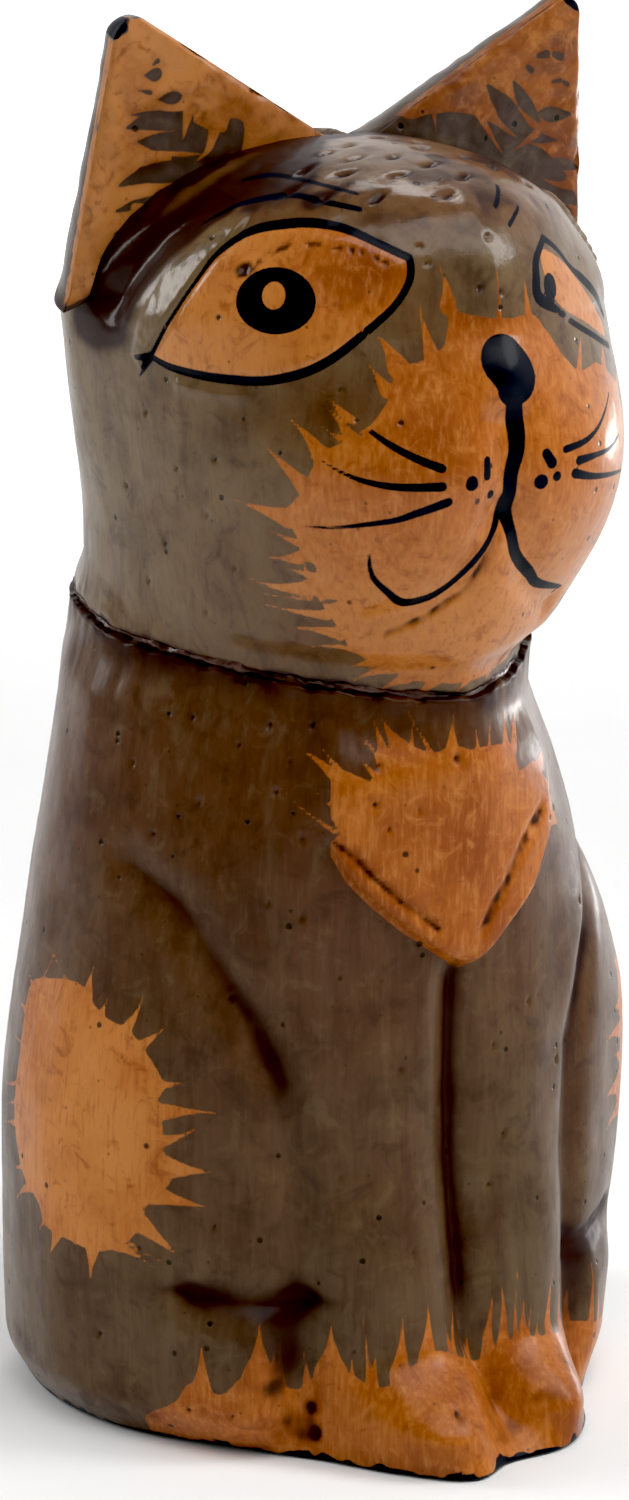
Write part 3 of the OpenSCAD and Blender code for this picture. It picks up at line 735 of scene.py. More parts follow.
def build_head():
    count, rows, dome_rows, groove_rows = 444, 118, 92, 8
    angle = columns(count)
    a1 = angle[None, :]
    ragged_lip = (
        0.3 * noise(a1 * 0.7, 0 * a1, 0 * a1, 2.6, 9.2) + 0.2 * noise(a1 * 0.7, 0 * a1, 0 * a1, 0.9, 3.2)
    )
    lip = seam_z(a1) + SEAM_HALF + ragged_lip
    u = (np.arange(groove_rows) / groove_rows)[:, None]
    z_g = mix(seam_z(a1), lip, u)
    r_g = seam_radius(a1) + (SEAM_DEPTH - 0.2) * u**0.75
    a_g = a1 + 0 * u
    share = (np.arange(rows + 1) / rows)[:, None]
    z_s = mix(lip, DOME_FROM, share)
    a_s = a1 + 0 * share
    near = 1 - ease((z_s - lip) / 6)
    r_s = mix(head_outline(a_s, z_s) + face(a_s, z_s), neck_radius(a_s) - 0.2, near)
    # crown: rows closer together where it curves over
    s = (90 * (np.arange(1, dome_rows) / dome_rows))[:, None]
    n = 2 / (2.05 - 0.2 * sind(a1) + 0.9 * power(np.maximum(cosd(a1), 0), 2))
    z_d = DOME_FROM + (DOME_TOP - DOME_FROM) * power(sind(s), n)
    a_d = a1 + 0 * s
    fall = power(cosd(s), n)
    r_d = head_outline(a_d, np.full_like(z_d, DOME_FROM)) * fall + face(a_d, z_d) * fall
    a, z, r = np.vstack([a_g, a_s, a_d]), np.vstack([z_g, z_s, z_d]), np.vstack([r_g, r_s, r_d])
    side = np.abs(a)
    p = to_xyz(a, r, z)
    x, y = p[..., 0], p[..., 1]

    # relief that the CAD leaves out
    r += carved_skin(x, y, z, 0.8)
    on_crown = ease((z - 168) / 8)
    r += on_crown * (0.4 * noise(x, y, z, 4.5, 1.4) + 0.16 * noise(x, y, z, 2, 7.4))
    r -= 0.7 * swell(to_path(side, z, EAR_FOOT_PATH) / 2.6)
    seam_near = swell((z - lip) / 1.5)
    r += 0.22 * seam_near * noise(x, y, z, 1.6, 11.2)
    crease = line_glow(a, z, 0.8, [LID_CREASE], 0.55)
    dashes = ease(0.5 + 1.6 * noise(a, z, 0 * z, 0.9, 3.1))
    r -= 0.12 * crease * dashes
    mouth = line_glow(a, z, 0.8, [MOUTH_GROOVE], 0.5) * (0.8 + 0.5 * noise(a, z, 0 * z, 1.6, 5.1))
    r -= 0.5 * mouth
    pits = spots(a, z, 0.8, HEAD_PITS)
    r -= 0.6 * pits
    # sharp chamfer over the outer end of each eye, and the ridge of the brow
    facet = Field(a, z, 0.8)
    for sign in (-1, 1):
        facet.blob([(sign * u, v) for u, v in BROW_FACET], smooth=False)
    brows = ease((0.5 - facet.grid()) / 1.3)
    across = (side - 60.5) * -0.6 - (z - 164.3) * 0.66
    r += brows * (
        0.6 + 0.2 * np.clip(across, -3, 3)
        + 0.1 * noise(x, y, z, 1.2, 3.7) + 0.1 * noise(x, y, z, 2.6, 5.2)
    )
    eye_field = Field(a, z, 0.8).blob(LID_TOP + LID_LOW[1:-1], smooth=False).grid()
    r += 0.35 * ease((-eye_field + 0.2) / 1.6)
    r += 0.45 * line_glow(a, z, 0.8, [[(-60, 150.6), (-52, 149.9), (-46, 150)]], 0.9)
    p = to_xyz(a, r, z)
    x, y = p[..., 0], p[..., 1]
    dents = np.zeros_like(z)
    warp = 0.5 * noise(x, y, z, 2.2, 2.6)
    for dx, dy, length, width, turn in CROWN_DENTS:
        c, sn = math.cos(math.radians(turn)), math.sin(math.radians(turn))
        along = (x - dx) * c + (y - dy) * sn + warp
        across = -(x - dx) * sn + (y - dy) * c + 0.7 * warp
        dents = np.maximum(dents, swell(np.hypot(along / (length / 2), across / (width / 2))))
    dents *= ease((z - 172) / 4)
    p[..., 2] -= 0.65 * dents

    # flat seats under the ears, cut square to each ear
    foot_dark = np.zeros_like(z)
    for sign in (-1, 1):
        m, t = ear_matrix(sign)
        local = (p - t) @ np.linalg.inv(m).T
        here = (
            (local[..., 1] > 0.4) & (local[..., 2] > -0.15)
            & (np.abs(local[..., 0]) < 60) & ((x - EAR_PLANE_X) * sign > -3)
        )
        local[..., 2] = np.where(here, -0.15, local[..., 2])
        p = np.where(here[..., None], local @ m.T + t, p)
        # foot_dark: painted shade in the hollow in front of each ear's foot
        reach = 2.2 + 2.6 * ease((local[..., 0] + 4) / 16)
        front = (
            swell((local[..., 1] + 1.0) / reach)
            * ease((27 - np.abs(local[..., 0])) / 4) * ease((local[..., 2] + 8) / 5)
        )
        foot_dark = np.maximum(foot_dark, front * ((x - EAR_PLANE_X) * sign > 0) * (z > 150))

    # paint
    eye = Field(a, z, 0.8).blob(LID_TOP + LID_LOW[1:-1], smooth=False).blob(FAR_EYE)
    patch = Field(a, z, 0.8).blob(FACE_CORE, smooth=False).spikes(FACE_SPIKES)
    lenses = Field(a, z, 0.8).strokes(GREY_LENSES).grid()
    pupil = np.hypot((a + 39.5) * 0.8 / 6.0, (z - 162.6) / 4.25) * 4.9 - 4.9
    dot = np.hypot((a + 39.8) * 0.8, z - 163.3) - 1.75
    ink = Field(a, z, 0.8, thick=1.28)
    ink.stroke([(u, v, 0.8 * w) for (u, v), w in zip(LID_TOP, LID_TOP_WIDTHS)])
    ink.stroke([(u, v, 0.8 * w) for (u, v), w in zip(LID_LOW, LID_LOW_WIDTHS)])
    ink.strokes(INK_LINES).strokes(FAR_LINES)
    ink = np.maximum(np.minimum(ink.grid(), pupil), -dot)
    patch_d = np.maximum(patch.grid(), -lenses)
    # the eye's own frame of bare base coat keeps the face patch off its outline
    patch_d = np.maximum(patch_d, 0.9 - np.where(a < 0, eye.grid(), 9))
    orange = np.minimum(np.minimum(patch_d, eye.grid()), dot)
    in_eye = ease((0.6 - eye.grid()) / 0.8)
    # painted shade in the hollows at the ears' feet (foot_dark, EAR_FOOT_PATH, HOLLOW_PATH); wax in the lid
    # crease, mouth groove, pits and crown dents, darker patches on the crown and bridge, the dark seam
    dark = (
        1.5 * foot_dark * (1 - brows) + 0.85 * crease * dashes + 0.85 * mouth + 0.55 * pits + 1.0 * dents
        + 0.75 * (1 - ease((z - seam_z(a) - 0.3 + 0.6 * noise(a * 0.7, z, 0 * z, 1.8, 4.1)) / 0.9))
        + 0.3 * swell((z - lip) / 1.6)
        + 0.9 * swell(np.hypot((a + 46) * 0.8 / 2, (z - 166.3) / 1.0))
        + 0.75 * swell(to_path(side, z, EAR_FOOT_PATH) / 3.6) * (1 - brows)
        + 0.6 * on_crown * ease(noise(x, y, z, 3.4, 5.5) * 2) + 0.12 * on_crown
        + 0.5 * swell(np.hypot((a + 2) / 9, (z - 162) / 5))
        + 0.9 * swell(to_path(side, z, HOLLOW_PATH) / 3.4) * (1 - brows)
        + 0.25 * swell(np.hypot((side - 12) / 6, (z - 160) / 6))
    )
    # tone: the brow facets (brows) are painted paler grey, a painted highlight
    tone = (
        0.8 - 0.75 * ease((z - 168) / 6) - 0.7 * swell(np.hypot((side - 30) / 18, (z - 148) / 5))
        - 0.45 * swell(np.hypot((side - 40) / 12, (z - 124) / 14))
        + 0.1 * ease((-a - 60) / 30) + 0.5 * brows + 0.2 * noise(x, y, z, 9, 6.3)
        - 0.5 * swell(np.hypot((side - 14) / 7, (z - 165) / 9)) - 0.45 * swell((z - 111) / 8)
    )
    # painted shadow under the upper lid, with deeper orange paint towards the eye's inner end
    lid_shadow_and_deep_paint = np.maximum(
        1.4 * swell(np.hypot((a + 22) / 15, (z - 167) / 6.5)), 0.15 * ease((a + 30) / 10) * (a < 0)
    )
    shade = (
        0.55 - 0.55 * in_eye * lid_shadow_and_deep_paint + 0.35 * in_eye - 0.35 * swell(np.hypot((a + 12) / 9, (z - 144) / 8))
        + 0.35 * swell((z - 120) / 9) - 0.45 * swell(np.hypot((a + 3) / 10, (z - 162) / 6))
        - 0.2 * swell(np.hypot((a + 14) / 6, (z - 152) / 5))
    )

    cap = []
    rim = p[0]
    hole = np.stack([AXIS_X + DOWEL_HOLE_R * sind(angle), DOWEL_Y - DOWEL_HOLE_R * cosd(angle), 0 * angle], -1)
    roof_z = NECK_Z + NECK_SLOPE * DOWEL_Y + DOWEL_HALF
    roof = hole.copy()
    roof[:, 2] = roof_z
    cap.append(roof)
    for share in (0, 0.15, 0.45, 0.75):
        ring = mix(hole, rim, share)
        ring[:, 2] = NECK_Z + NECK_SLOPE * ring[:, 1] + 0.02
        cap.append(ring)
    rings = np.concatenate([np.array(cap), p])

    def padded(v, fill):
        return np.vstack([np.full((len(cap), count), fill), v])

    values = {
        "orange": padded(orange, 6), "ink": padded(ink, 6), "wax_and_shade": padded(np.clip(dark, 0, 1), 1),
        "tone": padded(np.clip(tone, 0, 1), 0.5), "shade": padded(shade, 0.5),
    }
    top = p[-1].mean(axis=0)
    return ring_mesh("cat_head", rings, (AXIS_X, DOWEL_Y, roof_z), top, values)


# ------------------------------------------------------------------ ears, drawn across and above the seat
NEAR_DARK = [
    (-11, 10.4), (-9.5, 12), (-7.9, 10.8), (-5.5, 13), (-3.6, 15.6), (-1.5, 15), (0, 12.6), (1, 10.2),
    (2.2, 8), (3.2, 5.4), (5.5, 4.8), (9, 4.4), (15, 2.2), (17, -2), (-9, -2), (-7.7, 4.4), (-9, 7),
]
NEAR_FLECKS = [
    [(13.5, 3.8, 0.3), (8.6, 2.6, 1.9), (3, 1.2, 1.3)], [(15, 1.6, 0.3), (10.5, 0.9, 1.4), (6, 0.3, 1)],
    [(12, 6.4, 0.3), (7.2, 5.1, 1.9), (2.7, 3.3, 1.3)],
    [(8.6, 12.2, 0.3), (3.7, 11.3, 1.9), (-0.9, 8.5, 1.8)],
    [(3.7, 16.2, 0.3), (0.9, 14.5, 1.7), (-3.3, 12.3, 1.8)],
    [(4.2, 18.7, 0.3), (1.3, 17.9, 1.5), (-3.4, 15.4, 1.8)],
    [(5.6, 8, 0.4), (2.8, 7.6, 1.5), (-0.8, 6.7, 1.5)], [(3, 20, 0.2), (-0.7, 18, 0.7), (-2.4, 16, 0.5)],
    [(-1.2, 20, 0.2), (-3.1, 19.1, 1.2), (-4.3, 18.8, 0.3)],
    [(-0.9, 24, 0.2), (-2.3, 23.2, 1.2), (-2.9, 23.3, 0.3)], [(-2.6, 24.6, 0.2), (-3.4, 24.7, 0.5)],
    [(0.8, 22.6, 0.2), (-0.6, 21.5, 0.4)], [(10.5, 9.2, 0.2), (7.5, 8.6, 0.9), (5, 8, 0.3)],
]
NEAR_ORANGE = [
    [(11, 4.6, 1.7), (7.8, 2.4, 1), (4.1, 1, 0.25)], [(8, 8.4, 1.5), (4.8, 6.1, 1), (1.3, 4.2, 0.25)],
    [(9.8, 10.6, 1.7), (6.5, 9.5, 1.1), (2, 8.5, 0.25)],
    [(5.6, 14.4, 2), (1.6, 13, 1.2), (-3.5, 9.9, 0.25)],
    [(-7.3, 12.4, 2.6), (-4.9, 10, 1), (-2.8, 9.3, 0.25)],
    [(-4.4, 16.2, 2), (-2.9, 14.1, 0.7), (-2.2, 13.2, 0.25)],
]
FAR_DARK = [
    (-24, 0), (-22.8, 1.6), (-19.6, 5.2), (-17.5, 5.9), (-13.8, 8.8), (-11, 10.1), (-6.2, 11.2),
    (0.5, 11.3), (5.2, 11.9), (10.2, 11), (12.1, 10.3), (10.6, 8), (15.3, 6.9), (15.9, 5.6), (13.7, 3.6),
    (18.8, 3.3), (21, 0.5), (21, -2), (-24, -2),
]
FAR_FLECKS = [
    [(-8.4, 15.4, 0.3), (-4, 14, 2), (0.9, 12.6, 1.6)],
    [(-4.8, 17.8, 0.2), (-1.8, 16.3, 1.4), (2.4, 15, 0.4)],
    [(1.6, 16, 0.2), (3.8, 16.7, 1.5), (6.8, 18.1, 0.4)],
    [(1.7, 12.6, 1.4), (4.4, 13.1, 1), (6.9, 14, 0.2)], [(-3.1, 22.7, 0.5), (-2, 23.5, 0.9)],
    [(-0.7, 24, 0.6), (0.8, 24.3, 0.8)], [(-3.8, 20.6, 0.5), (-2.8, 20.5, 0.6)],
    [(1.5, 20.7, 0.3), (2.5, 21.4, 0.5)], [(3.1, 21.5, 0.3), (4.1, 21.5, 0.5)],
    [(7, 10.8, 0.6), (10.5, 11.8, 1.2), (13.6, 12.4, 0.2)], [(9, 7.6, 1), (13.5, 8.2, 1.4), (17, 8, 0.2)],
]
FAR_ORANGE = [
    [(-9.4, 12.4, 2.6), (-5.5, 10.4, 1), (-1, 8.4, 0.2)], [(3, 13.4, 1.6), (1.5, 10.8, 0.6), (0.4, 9, 0.2)],
    [(14.5, 10, 1.6), (11, 8.8, 0.8), (8, 8.4, 0.2)], [(18.5, 5.2, 1.6), (14.6, 5, 0.8), (11, 4.6, 0.2)],
    [(-16, 9.6, 2), (-14.5, 8, 0.8), (-13, 6.2, 0.2)],
]


def build_ear(side):
    front, back, levels = 128, 96, 150
    near_ear = side < 0
    down = np.concatenate([
        [0.04, 0.12, 0.25, 0.42, 0.65, 0.95, 1.3, 1.7, 2.1], np.linspace(2.5, EAR_H, levels),
    ])[::-1]
    h = (EAR_H - down)[:, None]
    slant = math.atan((EAR_W / 2 - 1.6) / EAR_H)
    drop = EAR_TIP_R * (1 - math.sin(slant))
    d = EAR_H - h
    w = np.where(d < drop, np.sqrt(np.maximum(d * (2 * EAR_TIP_R - d), 0)), EAR_W / 2 - h * math.tan(slant))
    near_tip = np.minimum(d / 2, 1)
    thick = mix(EAR_T, EAR_TIP_T, h / EAR_H) * np.sqrt(near_tip * (2 - near_tip))
    mid = mix(0, EAR_TIP_SHIFT, h / EAR_H)
    u = np.linspace(-1, 1, front, endpoint=False)[None, :]
    u = np.sign(u) * np.abs(u) ** 0.9
    rim = np.abs(u) ** 14
    front_x = mid + w * u
    front_y = -EAR_BOW * cosd(90 * u) * cosd(70 * h / EAR_H) + 0.55 * rim * np.minimum(1, thick / 3)
    q = (180 * np.arange(back) / back)[None, :]
    back_x = mid + w * np.sign(cosd(q)) * power(cosd(q), 0.75)
    back_y = np.maximum(thick * power(sind(q), 0.75), 0.55 * np.minimum(1, thick / 3))
    x, y = np.hstack([front_x, back_x]), np.hstack([front_y, back_y])
    z = h + 0 * x
    is_front = np.hstack([np.ones_like(front_x), np.zeros_like(back_x)])
    # the foot flares a little where filler rounds it into the head
    flare = swell(z / 1.3)
    x = mid + (x - mid) * (1 + 0.02 * flare)
    wobble = 0.32 * noise(x, y, z, 5, side * 2.5) + 0.22 * noise(x, y, z, 2, 1.5 + side)
    y = y + np.where(is_front > 0, 1, -1) * wobble * np.minimum(1, thick / 3) * ease(z / 2)
    front_f = ease((2.4 - y) / 0.5)

    half = EAR_W / 2
    outline_points = [
        (-half, -3), (-half + 0.2, 0), (EAR_TIP_SHIFT - 2.5, EAR_H - drop), (EAR_TIP_SHIFT, EAR_H),
        (EAR_TIP_SHIFT + 2.5, EAR_H - drop), (half - 0.2, 0), (half, -3),
    ]
    edge = Field(x, z).blob(outline_points, smooth=False).grid()
    dark = (
        Field(x, z, thick=1.55)
        .blob(NEAR_DARK if near_ear else FAR_DARK)
        .strokes(NEAR_FLECKS if near_ear else FAR_FLECKS)
        .grid()
    )
    tongues = Field(x, z, thick=0.85).strokes(NEAR_ORANGE if near_ear else FAR_ORANGE).grid()
    dark = np.maximum(dark, -tongues)
    if near_ear:
        tip = np.hypot((x - 0.1) / 2, (z - 31.7) / 1.5) * 1.8 - 1.8 + 0.5 * noise(x, y, z, 0.9, 3.3)
        foot_gap = 0.6 - z + 0 * x
    else:
        tip = np.hypot((x + 1.6) / 2.6, (z - 32) / 1.2) * 2 - 2
        foot_gap = 0.6 - z + 0 * x
    orange = np.maximum(
        np.maximum(edge - 0.3 + 0.3 * noise(x, y, z, 2.5, 5.7), -dark), np.maximum(-tip, foot_gap)
    )
    orange = mix(6, orange, front_f)
    # darker at the ear's foot and round the edge of the dark patch
    wax_and_shade = 0.9 * swell(z / 1.6) * (1 - 0.3 * is_front) + 0.35 * swell((dark + 0.2) / 1.2) * front_f
    wax_and_shade = wax_and_shade + 0.25 * front_f * ease((6 - z) / 7) * (dark < 0)
    ink = 1.2 + 0 * x
    ink = np.where(tip < 0.8, tip + 0.5 * noise(x, y, z, 1.2, 6.6), ink)
    # shade: the near ear's orange is painted paler towards its outer side, painted light, and the far ear's
    # orange deeper all over, painted shade
    values = {
        "orange": orange, "ink": np.minimum(ink, 6), "wax_and_shade": np.clip(wax_and_shade, 0, 1),
        "tone": 0.35 + 0.15 * noise(x, y, z, 7) + 0.3 * (1 - is_front),
        "shade": (0.55 + 0.5 * ease(x / 12) if near_ear else 0.08) + 0.25 * noise(x, y, z, 5, 2.0) + 0.01 * z,
    }
    m, t = ear_matrix(side)
    local = np.stack([x, y, z], -1)
    foot = np.array([0, EAR_T * 0.45, 0]) @ m.T + t
    top = np.array([EAR_TIP_SHIFT, 0.7, EAR_H]) @ m.T + t
    rings = local @ m.T + t
    if side < 0:
        rings = rings[:, ::-1]
        values = {key: value[:, ::-1] for key, value in values.items()}
    return ring_mesh("cat_ear_right" if near_ear else "cat_ear_left", rings, foot, top, values)


# ------------------------------------------------------------------ tail and filler
TAIL_TIP_SPIKES = [
    (0, 77, 0, 66, 4), (35, 77, 32, 69, 3), (62, 77, 66, 64, 4.4), (95, 77, 90, 70, 3),
    (128, 77, 130, 63, 4.2), (160, 77, 155, 68, 3), (190, 77, 195, 64, 4.4), (222, 77, 220, 70, 3),
    (258, 77, 262, 66, 4), (290, 77, 286, 69, 3), (322, 77, 328, 65, 4), (360, 77, 360, 66, 4),
]


def build_tail():
    count, rows = 72, 300
    length = 84
    t = ((1 - np.cos(np.pi * np.arange(rows + 1) / rows)) / 2)[:, None]
    q = (360 * np.arange(count) / count)[None, :]
    a = mix(TAIL_FROM, TAIL_TO, t)
    half = mix(TAIL_HALF, TAIL_TIP_HALF, t)
    s = half * np.sqrt(np.clip(1 - (2 * t - 1) ** 10, 0, 1) + 0.0004)
    turned = np.where(a > 180, a - 360, a)
    r = body_radius(turned, s) + TAIL_GAP + half
    a = a + 0 * q
    fur = 1 + 0.02 * noise(q / 20, t * 60, 0 * q, 2.0)
    z = np.maximum(half + s * fur * sind(q), 0)
    rings = to_xyz(a, r + s * fur * cosd(q), z)
    along = t * length + 0 * q
    orange = Field(q + 0 * t, along, half.mean() / 57.3)
    orange.d = np.clip(76 - orange.y, -6, 6)
    orange.spikes(TAIL_TIP_SPIKES)
    wax_and_shade = 0.8 * ease((1.2 - z) / 1.2) + 0.25 * swell((t - 0.02) / 0.03) + 0 * q
    ink = 1.5 - 1.2 * ease((1.0 - z) / 1.0) + 0.3 * noise(rings[..., 0], rings[..., 1], z, 2)
    values = {
        "orange": orange.grid(), "ink": ink, "wax_and_shade": np.clip(wax_and_shade, 0, 1),
        "tone": 0.45 + 0.2 * noise(rings[..., 0], rings[..., 1], z, 9),
        "shade": 0.5 + 0.2 * noise(rings[..., 0], rings[..., 1], z, 5),
    }
    return ring_mesh("cat_tail", rings, rings[0].mean(axis=0), rings[-1].mean(axis=0), values)


def build_filler():
    count, sides = 900, 16
    a = (360 * np.arange(count) / count - 180)[:, None]
    q = (360 * np.arange(sides) / sides)[None, :]
    lump = noise(a * 0.6, q / 90, 0 * a, 2.4) + 0.35 * noise(a * 0.6, q / 60, 0 * a, 0.7, 8)
    r = seam_radius(a) + 1.1 + 0.5 * cosd(q) * (1 + 0.25 * lump) + 0.28 * lump
    z = seam_z(a) + 0.95 * sind(q) * (1 + 0.3 * lump)
    rings = to_xyz(a + 0 * q, r, z)
    return ring_mesh(
        "cat_neck_filler", rings[::-1], None, None, {"wax_and_shade": 1 + 0 * r, "shade": lump}, closed_rows=True,
    )


# ------------------------------------------------------------------ materials
class Graph:
    """Short calls for building a material's nodes."""

    def __init__(self, name):
        self.material = bpy.data.materials.new(name)
        self.material.use_nodes = True
        self.tree = self.material.node_tree
        self.tree.nodes.clear()
        self.out = self.tree.nodes.new("ShaderNodeOutputMaterial")
        self.place = self.tree.nodes.new("ShaderNodeTexCoord").outputs["Object"]

    def put(self, socket, value):
        if isinstance(value, bpy.types.NodeSocket):
            self.tree.links.new(value, socket)
        elif value is not None:
            socket.default_value = value

    def node(self, kind, inputs=(), **props):
        n = self.tree.nodes.new(kind)
        for key, value in props.items():
            setattr(n, key, value)
        for key, value in dict(inputs).items():
            self.put(n.inputs[key], value)
        return n

    def layer(self, name):
        return self.node("ShaderNodeAttribute", attribute_name=name).outputs["Fac"]

    def math(self, kind, a, b=None, c=None, clamp=False):
        n = self.node("ShaderNodeMath", operation=kind, use_clamp=clamp)
        for socket, value in zip(n.inputs, (a, b, c)):
            self.put(socket, value)
        return n.outputs[0]

    def span(self, value, low, high, to_low=0.0, to_high=1.0, smooth=True):
        n = self.node(
            "ShaderNodeMapRange",
            {"Value": value, "From Min": low, "From Max": high, "To Min": to_low, "To Max": to_high},
            interpolation_type="SMOOTHSTEP" if smooth else "LINEAR",
        )
        return n.outputs["Result"]

    def blend(self, share, a, b, kind="MIX"):
        n = self.node("ShaderNodeMix", data_type="RGBA", blend_type=kind)
        self.put(n.inputs[0], share)
        self.put(n.inputs[6], a if isinstance(a, bpy.types.NodeSocket) else (*a, 1))
        self.put(n.inputs[7], b if isinstance(b, bpy.types.NodeSocket) else (*b, 1))
        return n.outputs[2]

    def stretch(self, scale):
        return self.node("ShaderNodeMapping", {"Vector": self.place, "Scale": scale}).outputs[0]

    def noise(self, scale, detail=3.0, rough=0.5, vector=None, distortion=0.0):
        n = self.node(
            "ShaderNodeTexNoise",
            {
                "Vector": vector or self.place, "Scale": scale, "Detail": detail,
                "Roughness": rough, "Distortion": distortion,
            },
        )
        return n.outputs["Fac"]

    def cells(self, scale, vector=None):
        n = self.node("ShaderNodeTexVoronoi", {"Vector": vector or self.place, "Scale": scale})
        return n.outputs["Distance"], n.outputs["Color"]

    def bump(self, height, distance, strength, under=None):
        n = self.node("ShaderNodeBump", {"Height": height, "Distance": distance, "Strength": strength})
        if under is not None:
            self.put(n.inputs["Normal"], under)
        return n.outputs[0]


BROWN, BROWN_DEEP = (0.1, 0.0415, 0.019), (0.04, 0.0175, 0.0095)
GREY, GREY_LIGHT = (0.106, 0.067, 0.034), (0.168, 0.112, 0.059)
ORANGE_DEEP, ORANGE, AMBER = (0.22, 0.05, 0.009), (0.4, 0.117, 0.018), (0.54, 0.21, 0.055)
EAR_ORANGES = (0.16, 0.044, 0.012), (0.31, 0.1, 0.023), (0.44, 0.18, 0.056)
# the last colour here is the darkest wax in the cuts, and of the painted shade in creases and hollows
INK, WAX_AND_SHADE = (0.0015, 0.0025, 0.007), (0.022, 0.008, 0.008)


def paint_material(
    name, streak=(1, 1, 0.12), base=(BROWN, GREY), gloss=0.3, lacquer=0.26,
    oranges=(ORANGE_DEEP, ORANGE, AMBER), rim=0.7,
):
    """Base coat, feathered orange patches, wax in the cuts, painted shade in hollows and ink lines under gloss
    lacquer.
    """
    g = Graph(name)
    deep, middle, amber = oranges
    orange_d, ink_d, wax_and_shade_v, tone_v, shade_v = (g.layer(k) for k in ("orange", "ink", "wax_and_shade", "tone", "shade"))
    mottle = g.noise(95, 5, 0.6)
    clouds = g.noise(38, 3, 0.5)
    bristle = g.noise(1500, 3, 0.6, g.stretch(streak))
    grit = g.noise(3200, 2, 0.6)
    # base coat
    tone = g.math("ADD", tone_v, g.math("MULTIPLY_ADD", clouds, 0.9, -0.45), clamp=True)
    coat = g.blend(tone, base[0], base[1])
    coat = g.blend(g.span(mottle, 0.42, 0.72, 0, 0.5), coat, BROWN_DEEP)
    coat = g.blend(g.span(bristle, 0.5, 0.8, 0, 0.2), coat, GREY_LIGHT)
    coat = g.blend(g.span(bristle, 0.5, 0.25, 0, 0.22), coat, BROWN_DEEP)
    blotch = g.noise(210, 4, 0.65, distortion=0.6)
    coat = g.blend(g.span(blotch, 0.5, 0.7, 0, 0.5), coat, BROWN_DEEP)
    coat = g.blend(g.span(blotch, 0.46, 0.3, 0, 0.34), coat, GREY_LIGHT)
    wipe = g.noise(300, 4, 0.6, g.stretch(streak), 0.4)
    coat = g.blend(g.span(wipe, 0.5, 0.72, 0, 0.42), coat, (0.05, 0.017, 0.008))
    coat = g.blend(g.span(wipe, 0.48, 0.3, 0, 0.26), coat, GREY_LIGHT)
    # orange: thin paint, deeper where it is thick, streaked by the brush
    swirl = g.noise(230, 5, 0.65, distortion=1.6)
    warm = g.math("MULTIPLY_ADD", clouds, 0.8, g.math("SUBTRACT", shade_v, 0.4))
    patch = g.blend(g.span(warm, 0.0, 0.55), deep, middle)
    patch = g.blend(g.span(warm, 0.45, 1.1), patch, amber)
    patch = g.blend(g.span(bristle, 0.45, 0.8, 0, 0.65), patch, amber)
    patch = g.blend(g.span(bristle, 0.5, 0.25, 0, 0.4), patch, deep)
    patch = g.blend(g.span(mottle, 0.5, 0.8, 0, 0.4), patch, deep)
    patch = g.blend(g.span(swirl, 0.5, 0.72, 0, 0.55), patch, amber)
    patch = g.blend(g.span(swirl, 0.48, 0.3, 0, 0.6), patch, deep)
    edge = g.math("MULTIPLY_ADD", g.math("SUBTRACT", bristle, 0.5), 0.5, orange_d)
    is_orange = g.span(edge, 0.12, -0.12)
    colour = g.blend(is_orange, coat, patch)
    # freckles of dark glaze on the paint
    dots, dot_tint = g.cells(420)
    pick = g.span(g.node("ShaderNodeSeparateColor", {"Color": dot_tint}).outputs[0], 0.72, 0.78)
    freckle = g.math("MULTIPLY", g.span(dots, 0.13, 0.06), pick)
    colour = g.blend(g.math("MULTIPLY", freckle, 0.55), colour, BROWN_DEEP)
    # wax and filler in the cuts, and painted shade in creases and hollows
    wax_and_shade = g.span(g.math("MULTIPLY_ADD", g.math("SUBTRACT", mottle, 0.5), 0.7, wax_and_shade_v), 0.12, 0.95)
    red = g.blend(is_orange, (0.034, 0.012, 0.009), (0.11, 0.022, 0.005))
    wax_and_shade_colour = g.blend(g.span(wax_and_shade, 0.45, 0.95), red, WAX_AND_SHADE)
    colour = g.blend(g.math("MULTIPLY", wax_and_shade, 0.95), colour, wax_and_shade_colour)
    # ink over everything
    inked = g.math("MULTIPLY_ADD", g.math("SUBTRACT", grit, 0.5), 0.16, ink_d)
    is_ink = g.span(inked, 0.09, -0.09)
    colour = g.blend(is_ink, colour, g.blend(g.span(mottle, 0.4, 0.8), INK, (0.006, 0.009, 0.02)))
    # open pores of the wood, seen through the paint
    pore_d, pore_tint = g.cells(260)
    pore_pick = g.span(g.node("ShaderNodeSeparateColor", {"Color": pore_tint}).outputs[1], 0.6, 0.66)
    pore = g.math("MULTIPLY", g.span(pore_d, 0.15, 0.07), pore_pick)
    pore = g.math("MULTIPLY", pore, g.math("SUBTRACT", 1.0, is_ink))
    colour = g.blend(g.math("MULTIPLY", pore, 0.85), colour, (0.008, 0.004, 0.003))
    # surface under the lacquer: bristle marks, paint edge, pores, then the lacquer's own skin
    normal = g.bump(bristle, 0.00006, 0.35)
    normal = g.bump(is_orange, 0.00005, 0.5, normal)
    normal = g.bump(g.math("SUBTRACT", 1.0, pore), 0.00025, 0.8, normal)
    skin = g.bump(g.noise(420, 3, 0.55), 0.00014, 0.5)
    skin = g.bump(g.noise(1700, 2, 0.6), 0.00003, 0.5, skin)
    skin = g.bump(g.math("SUBTRACT", 1.0, pore), 0.0002, 0.6, skin)
    rough = g.span(mottle, 0.3, 0.8, 0.45, 0.6)
    rough = g.math("ADD", rough, g.math("MULTIPLY", wax_and_shade, 0.18))
